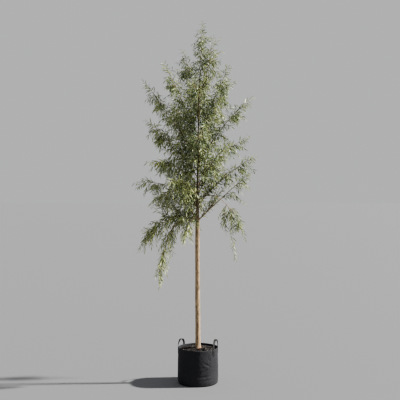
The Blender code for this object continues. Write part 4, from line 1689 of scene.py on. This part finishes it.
    def clothe(self, mass: Mass, leaves: Copies, twigs: list[Line], shoots: list[Line]) -> None:
        """Grow the twigs and shoots of one mass, with the leaves on them.

        Args:
            mass: The mass, as its solid has it.
            leaves: The leaves so far, to which its leaves are added.
            twigs: The twigs so far, to which its twigs, tails and risers are added.
            shoots: The fine shoots so far, to which its shoots are added.
        """
        rng = random.Random(f"foliage of {mass.limb.name}")
        clothing = mass.limb.clothing
        for twig in mass.twigs:
            slim = self.slim(twig)
            points = [twig.points[0].lerp(point, slim) for point in twig.points]
            twigs.append((points, self.twig_radii))
            self.leaves_on_line(leaves, points, self.twig_leaf_spacing, mass.spaces, rng)
        if clothing.leafy_to:
            shares = np.linspace(self.bough_leaves_from, clothing.leafy_to, self.bough_leaf_points)
            points = [mass.limb.point(share) for share in shares]
            self.leaves_on_line(leaves, points, self.bough_leaf_spacing, mass.spaces, rng)
        for points in self.tails(mass.limb):
            twigs.append((points, self.shoot_radii))
            self.leaves_on_line(leaves, points, self.tail_leaf_spacing, mass.spaces, rng)
        for points in self.risers(mass.limb, rng):
            twigs.append((points, self.riser_radii))
            self.leaves_on_line(leaves, points, self.riser_leaf_spacing, mass.spaces, rng)
        grown = self.spray_shoots(mass, rng) + self.side_shoots(mass, rng)
        grown = [shoot for shoot in grown if rng.random() >= clothing.thinning]
        for shoot in (*grown, self.leading_shoot(mass, rng)):
            shoots.append(([shoot.point(share) for share in self.shoot_points], self.shoot_radii))
            self.leaves_along(leaves, shoot, self.leaf_spacing, mass.spaces, rng)

    def dress(self) -> None:
        """Make the leaves, the twigs and the shoots of this part of the crown."""
        shape = LeafShape()
        leaves = Copies([shape.pattern(*bend) for bend in zip(self.curves, self.twists)])
        twigs: list[Line] = []
        shoots: list[Line] = []
        for mass in self.masses:
            self.clothe(mass, leaves, twigs, shoots)
        replaced = [f"foliage_{mass.limb.name}" for mass in self.masses]
        for number, lot in enumerate(leaves.parts(self.leaves_together), start=1):
            mesh = lot.mesh(f"leaves_{self.side.value}_{number}")
            piece(mesh, [*LEAF_TOPS, LEAF_UNDERSIDE], replaced)
        for name, lines, finish in (("twigs", twigs, TWIG_BARK), ("shoots", shoots, SHOOT_BARK)):
            piece(swept(f"{name}_{self.side.value}", lines), [finish], replaced)


def swept(name: str, lines: Iterable[Line]) -> bpy.types.Mesh:
    """Mesh of many fine tubes.

    Args:
        name: Name of the mesh.
        lines: The points of each tube, with its radii at its two ends.

    Returns:
        The tubes, four-sided and with closed ends, as one mesh.
    """
    curve = bpy.data.curves.new(name, "CURVE")
    curve.dimensions = "3D"
    curve.use_fill_caps = True
    curve.bevel_depth = 1.0
    curve.bevel_resolution = 0
    for points, radii in lines:
        spline = curve.splines.new("POLY")
        spline.points.add(len(points) - 1)
        for node, place, radius in zip(spline.points, points, np.linspace(*radii, len(points))):
            node.co = (*place, 1.0)
            node.radius = radius
    guide = bpy.data.objects.new("guide", curve)
    bpy.context.scene.collection.objects.link(guide)
    evaluated = guide.evaluated_get(bpy.context.evaluated_depsgraph_get())
    step = bpy.data.meshes.new_from_object(evaluated)
    bm = bmesh.new()
    bm.from_mesh(step)
    bpy.data.objects.remove(guide)
    bpy.data.curves.remove(curve)
    bpy.data.meshes.remove(step)
    bmesh.ops.remove_doubles(bm, verts=bm.verts, dist=MERGE_DISTANCE)
    bmesh.ops.recalc_face_normals(bm, faces=bm.faces)
    return mesh_of(name, bm)


@dataclass(frozen=True)
class Boughs:
    """The limbs' wood from the trunk to their tips, with collars, buds and a light relief."""

    sides: int = 10
    rings: int = 72
    collar: float = 0.25
    collar_length: float = 0.05
    bud_spacing: float = 0.035
    bud_swell: float = 0.16
    bud_sharpness: int = 6
    grain_swell: float = 0.10
    grain_fineness: float = 40.0
    grain_breadth: float = 1.6

    def skin(self, limb: Limb, around: float, along: float) -> Vector:
        """Point of a limb's bark at a share round and along it, closed over at the tip."""
        course = limb.course(along)
        side = course.orthogonal().normalized()
        side.rotate(Matrix.Rotation(math.tau * around, 3, course))
        from_trunk = along * (limb.reach + abs(limb.tip - limb.start))
        swell = 1.0 + self.collar * math.exp(-from_trunk / self.collar_length)
        bud = max(0.0, math.cos(math.tau * from_trunk / self.bud_spacing))
        swell += self.bud_swell * bud ** self.bud_sharpness
        grain = noise.noise(limb.point(along) * self.grain_fineness + side * self.grain_breadth)
        radius = 0.0 if along > POLE_SHARE else limb.radius(along) * (swell + self.grain_swell * grain)
        return limb.point(along) + side * radius

    def dress(self, side: Side, limbs: Sequence[Limb]) -> None:
        """Make the wood of one part of the crown as one piece."""
        joined = bmesh.new()
        for limb in limbs:
            tube = wrapped(self.sides, self.rings, partial(self.skin, limb), capped=True)
            step = bpy.data.meshes.new("limb")
            tube.to_mesh(step)
            tube.free()
            joined.from_mesh(step)
            bpy.data.meshes.remove(step)
        replaced = [f"bough_{limb.name}" for limb in limbs if limb.bare > 0.0]
        piece(mesh_of(f"boughs_{side.value}", joined), [BOUGH_BARK], replaced)


# Studio

@dataclass(frozen=True)
class Studio:
    """The plain grey floor, the soft light from the right and the camera of the photograph."""

    floor_radius: float = 400.0
    floor_sides: int = 96
    world_colour: Colour = (0.72, 0.725, 0.735)
    world_strength: float = 0.66
    key_bearing: float = 3.0
    key_height: float = 36.0
    key_strength: float = 11.0
    key_softness: float = 3.0
    key_colour: Colour = (1.0, 0.96, 0.90)
    look: str = "AgX - Medium High Contrast"
    camera_place: Triple = (0.02, -6.72, 1.82)
    lens: float = 60.5
    sensor: float = 36.0

    def floor(self) -> None:
        """A wide round floor."""
        bm = bmesh.new()
        bmesh.ops.create_circle(bm, cap_ends=True, segments=self.floor_sides, radius=self.floor_radius)
        obj = bpy.data.objects.new("floor", mesh_of("floor", bm, smooth=False))
        bpy.context.scene.collection.objects.link(obj)
        obj.data.materials.append(FLOOR_PAINT.material())
        obj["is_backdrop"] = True

    def lights(self) -> None:
        """The even light of the room, and one soft key light."""
        world = bpy.data.worlds.new("studio")
        world.use_nodes = True
        background = world.node_tree.nodes["Background"]
        background.inputs["Color"].default_value = (*self.world_colour, 1.0)
        background.inputs["Strength"].default_value = self.world_strength
        bpy.context.scene.world = world
        bpy.context.scene.view_settings.look = self.look
        key = bpy.data.lights.new("key", "SUN")
        key.energy = self.key_strength
        key.angle = math.radians(self.key_softness)
        key.color = self.key_colour
        lamp = bpy.data.objects.new("key", key)
        bpy.context.scene.collection.objects.link(lamp)
        rise = math.radians(self.key_height)
        towards = bearing_vector(self.key_bearing) * math.cos(rise) + UP * math.sin(rise)
        lamp.rotation_euler = towards.to_track_quat("Z", "Y").to_euler()

    def camera(self) -> None:
        """A level camera where the photograph was taken from."""
        data = bpy.data.cameras.new("camera")
        data.lens = self.lens
        data.sensor_width = self.sensor
        camera = bpy.data.objects.new("camera", data)
        camera.location = self.camera_place
        camera.rotation_euler = (math.radians(90.0), 0.0, 0.0)
        bpy.context.scene.collection.objects.link(camera)
        bpy.context.scene.camera = camera

    def build(self) -> None:
        """Set up the whole studio."""
        self.floor()
        self.lights()
        self.camera()


def write_sizes() -> None:
    """Gather the solids' box and the dressed model's box as lists of corners."""
    boxes = {"cad": CAD_BOX, "visual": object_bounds()}
    plain = {name: [list(corner) for corner in box] for name, box in boxes.items()}


def main() -> None:
    """Build the studio and every piece of the plant."""
    logging.basicConfig(level=logging.INFO, format="%(name)s %(message)s")
    Studio().build()
    bag = GrowBag()
    bag.dress()
    Strap("right", -16.0, 0.084, bag).dress()
    Strap("left", 160.0, 0.068, bag).dress()
    Compost().dress()
    TRUNK.dress()
    spaces = Spaces(LIMBS)
    masses = [Mass(limb, index, spaces) for index, limb in enumerate(LIMBS)]
    for side in Side:
        own = [mass for mass in masses if mass.limb.side is side]
        Boughs().dress(side, [mass.limb for mass in own])
        Foliage(side, own).dress()
    write_sizes()


if __name__ == "__main__":
    main()
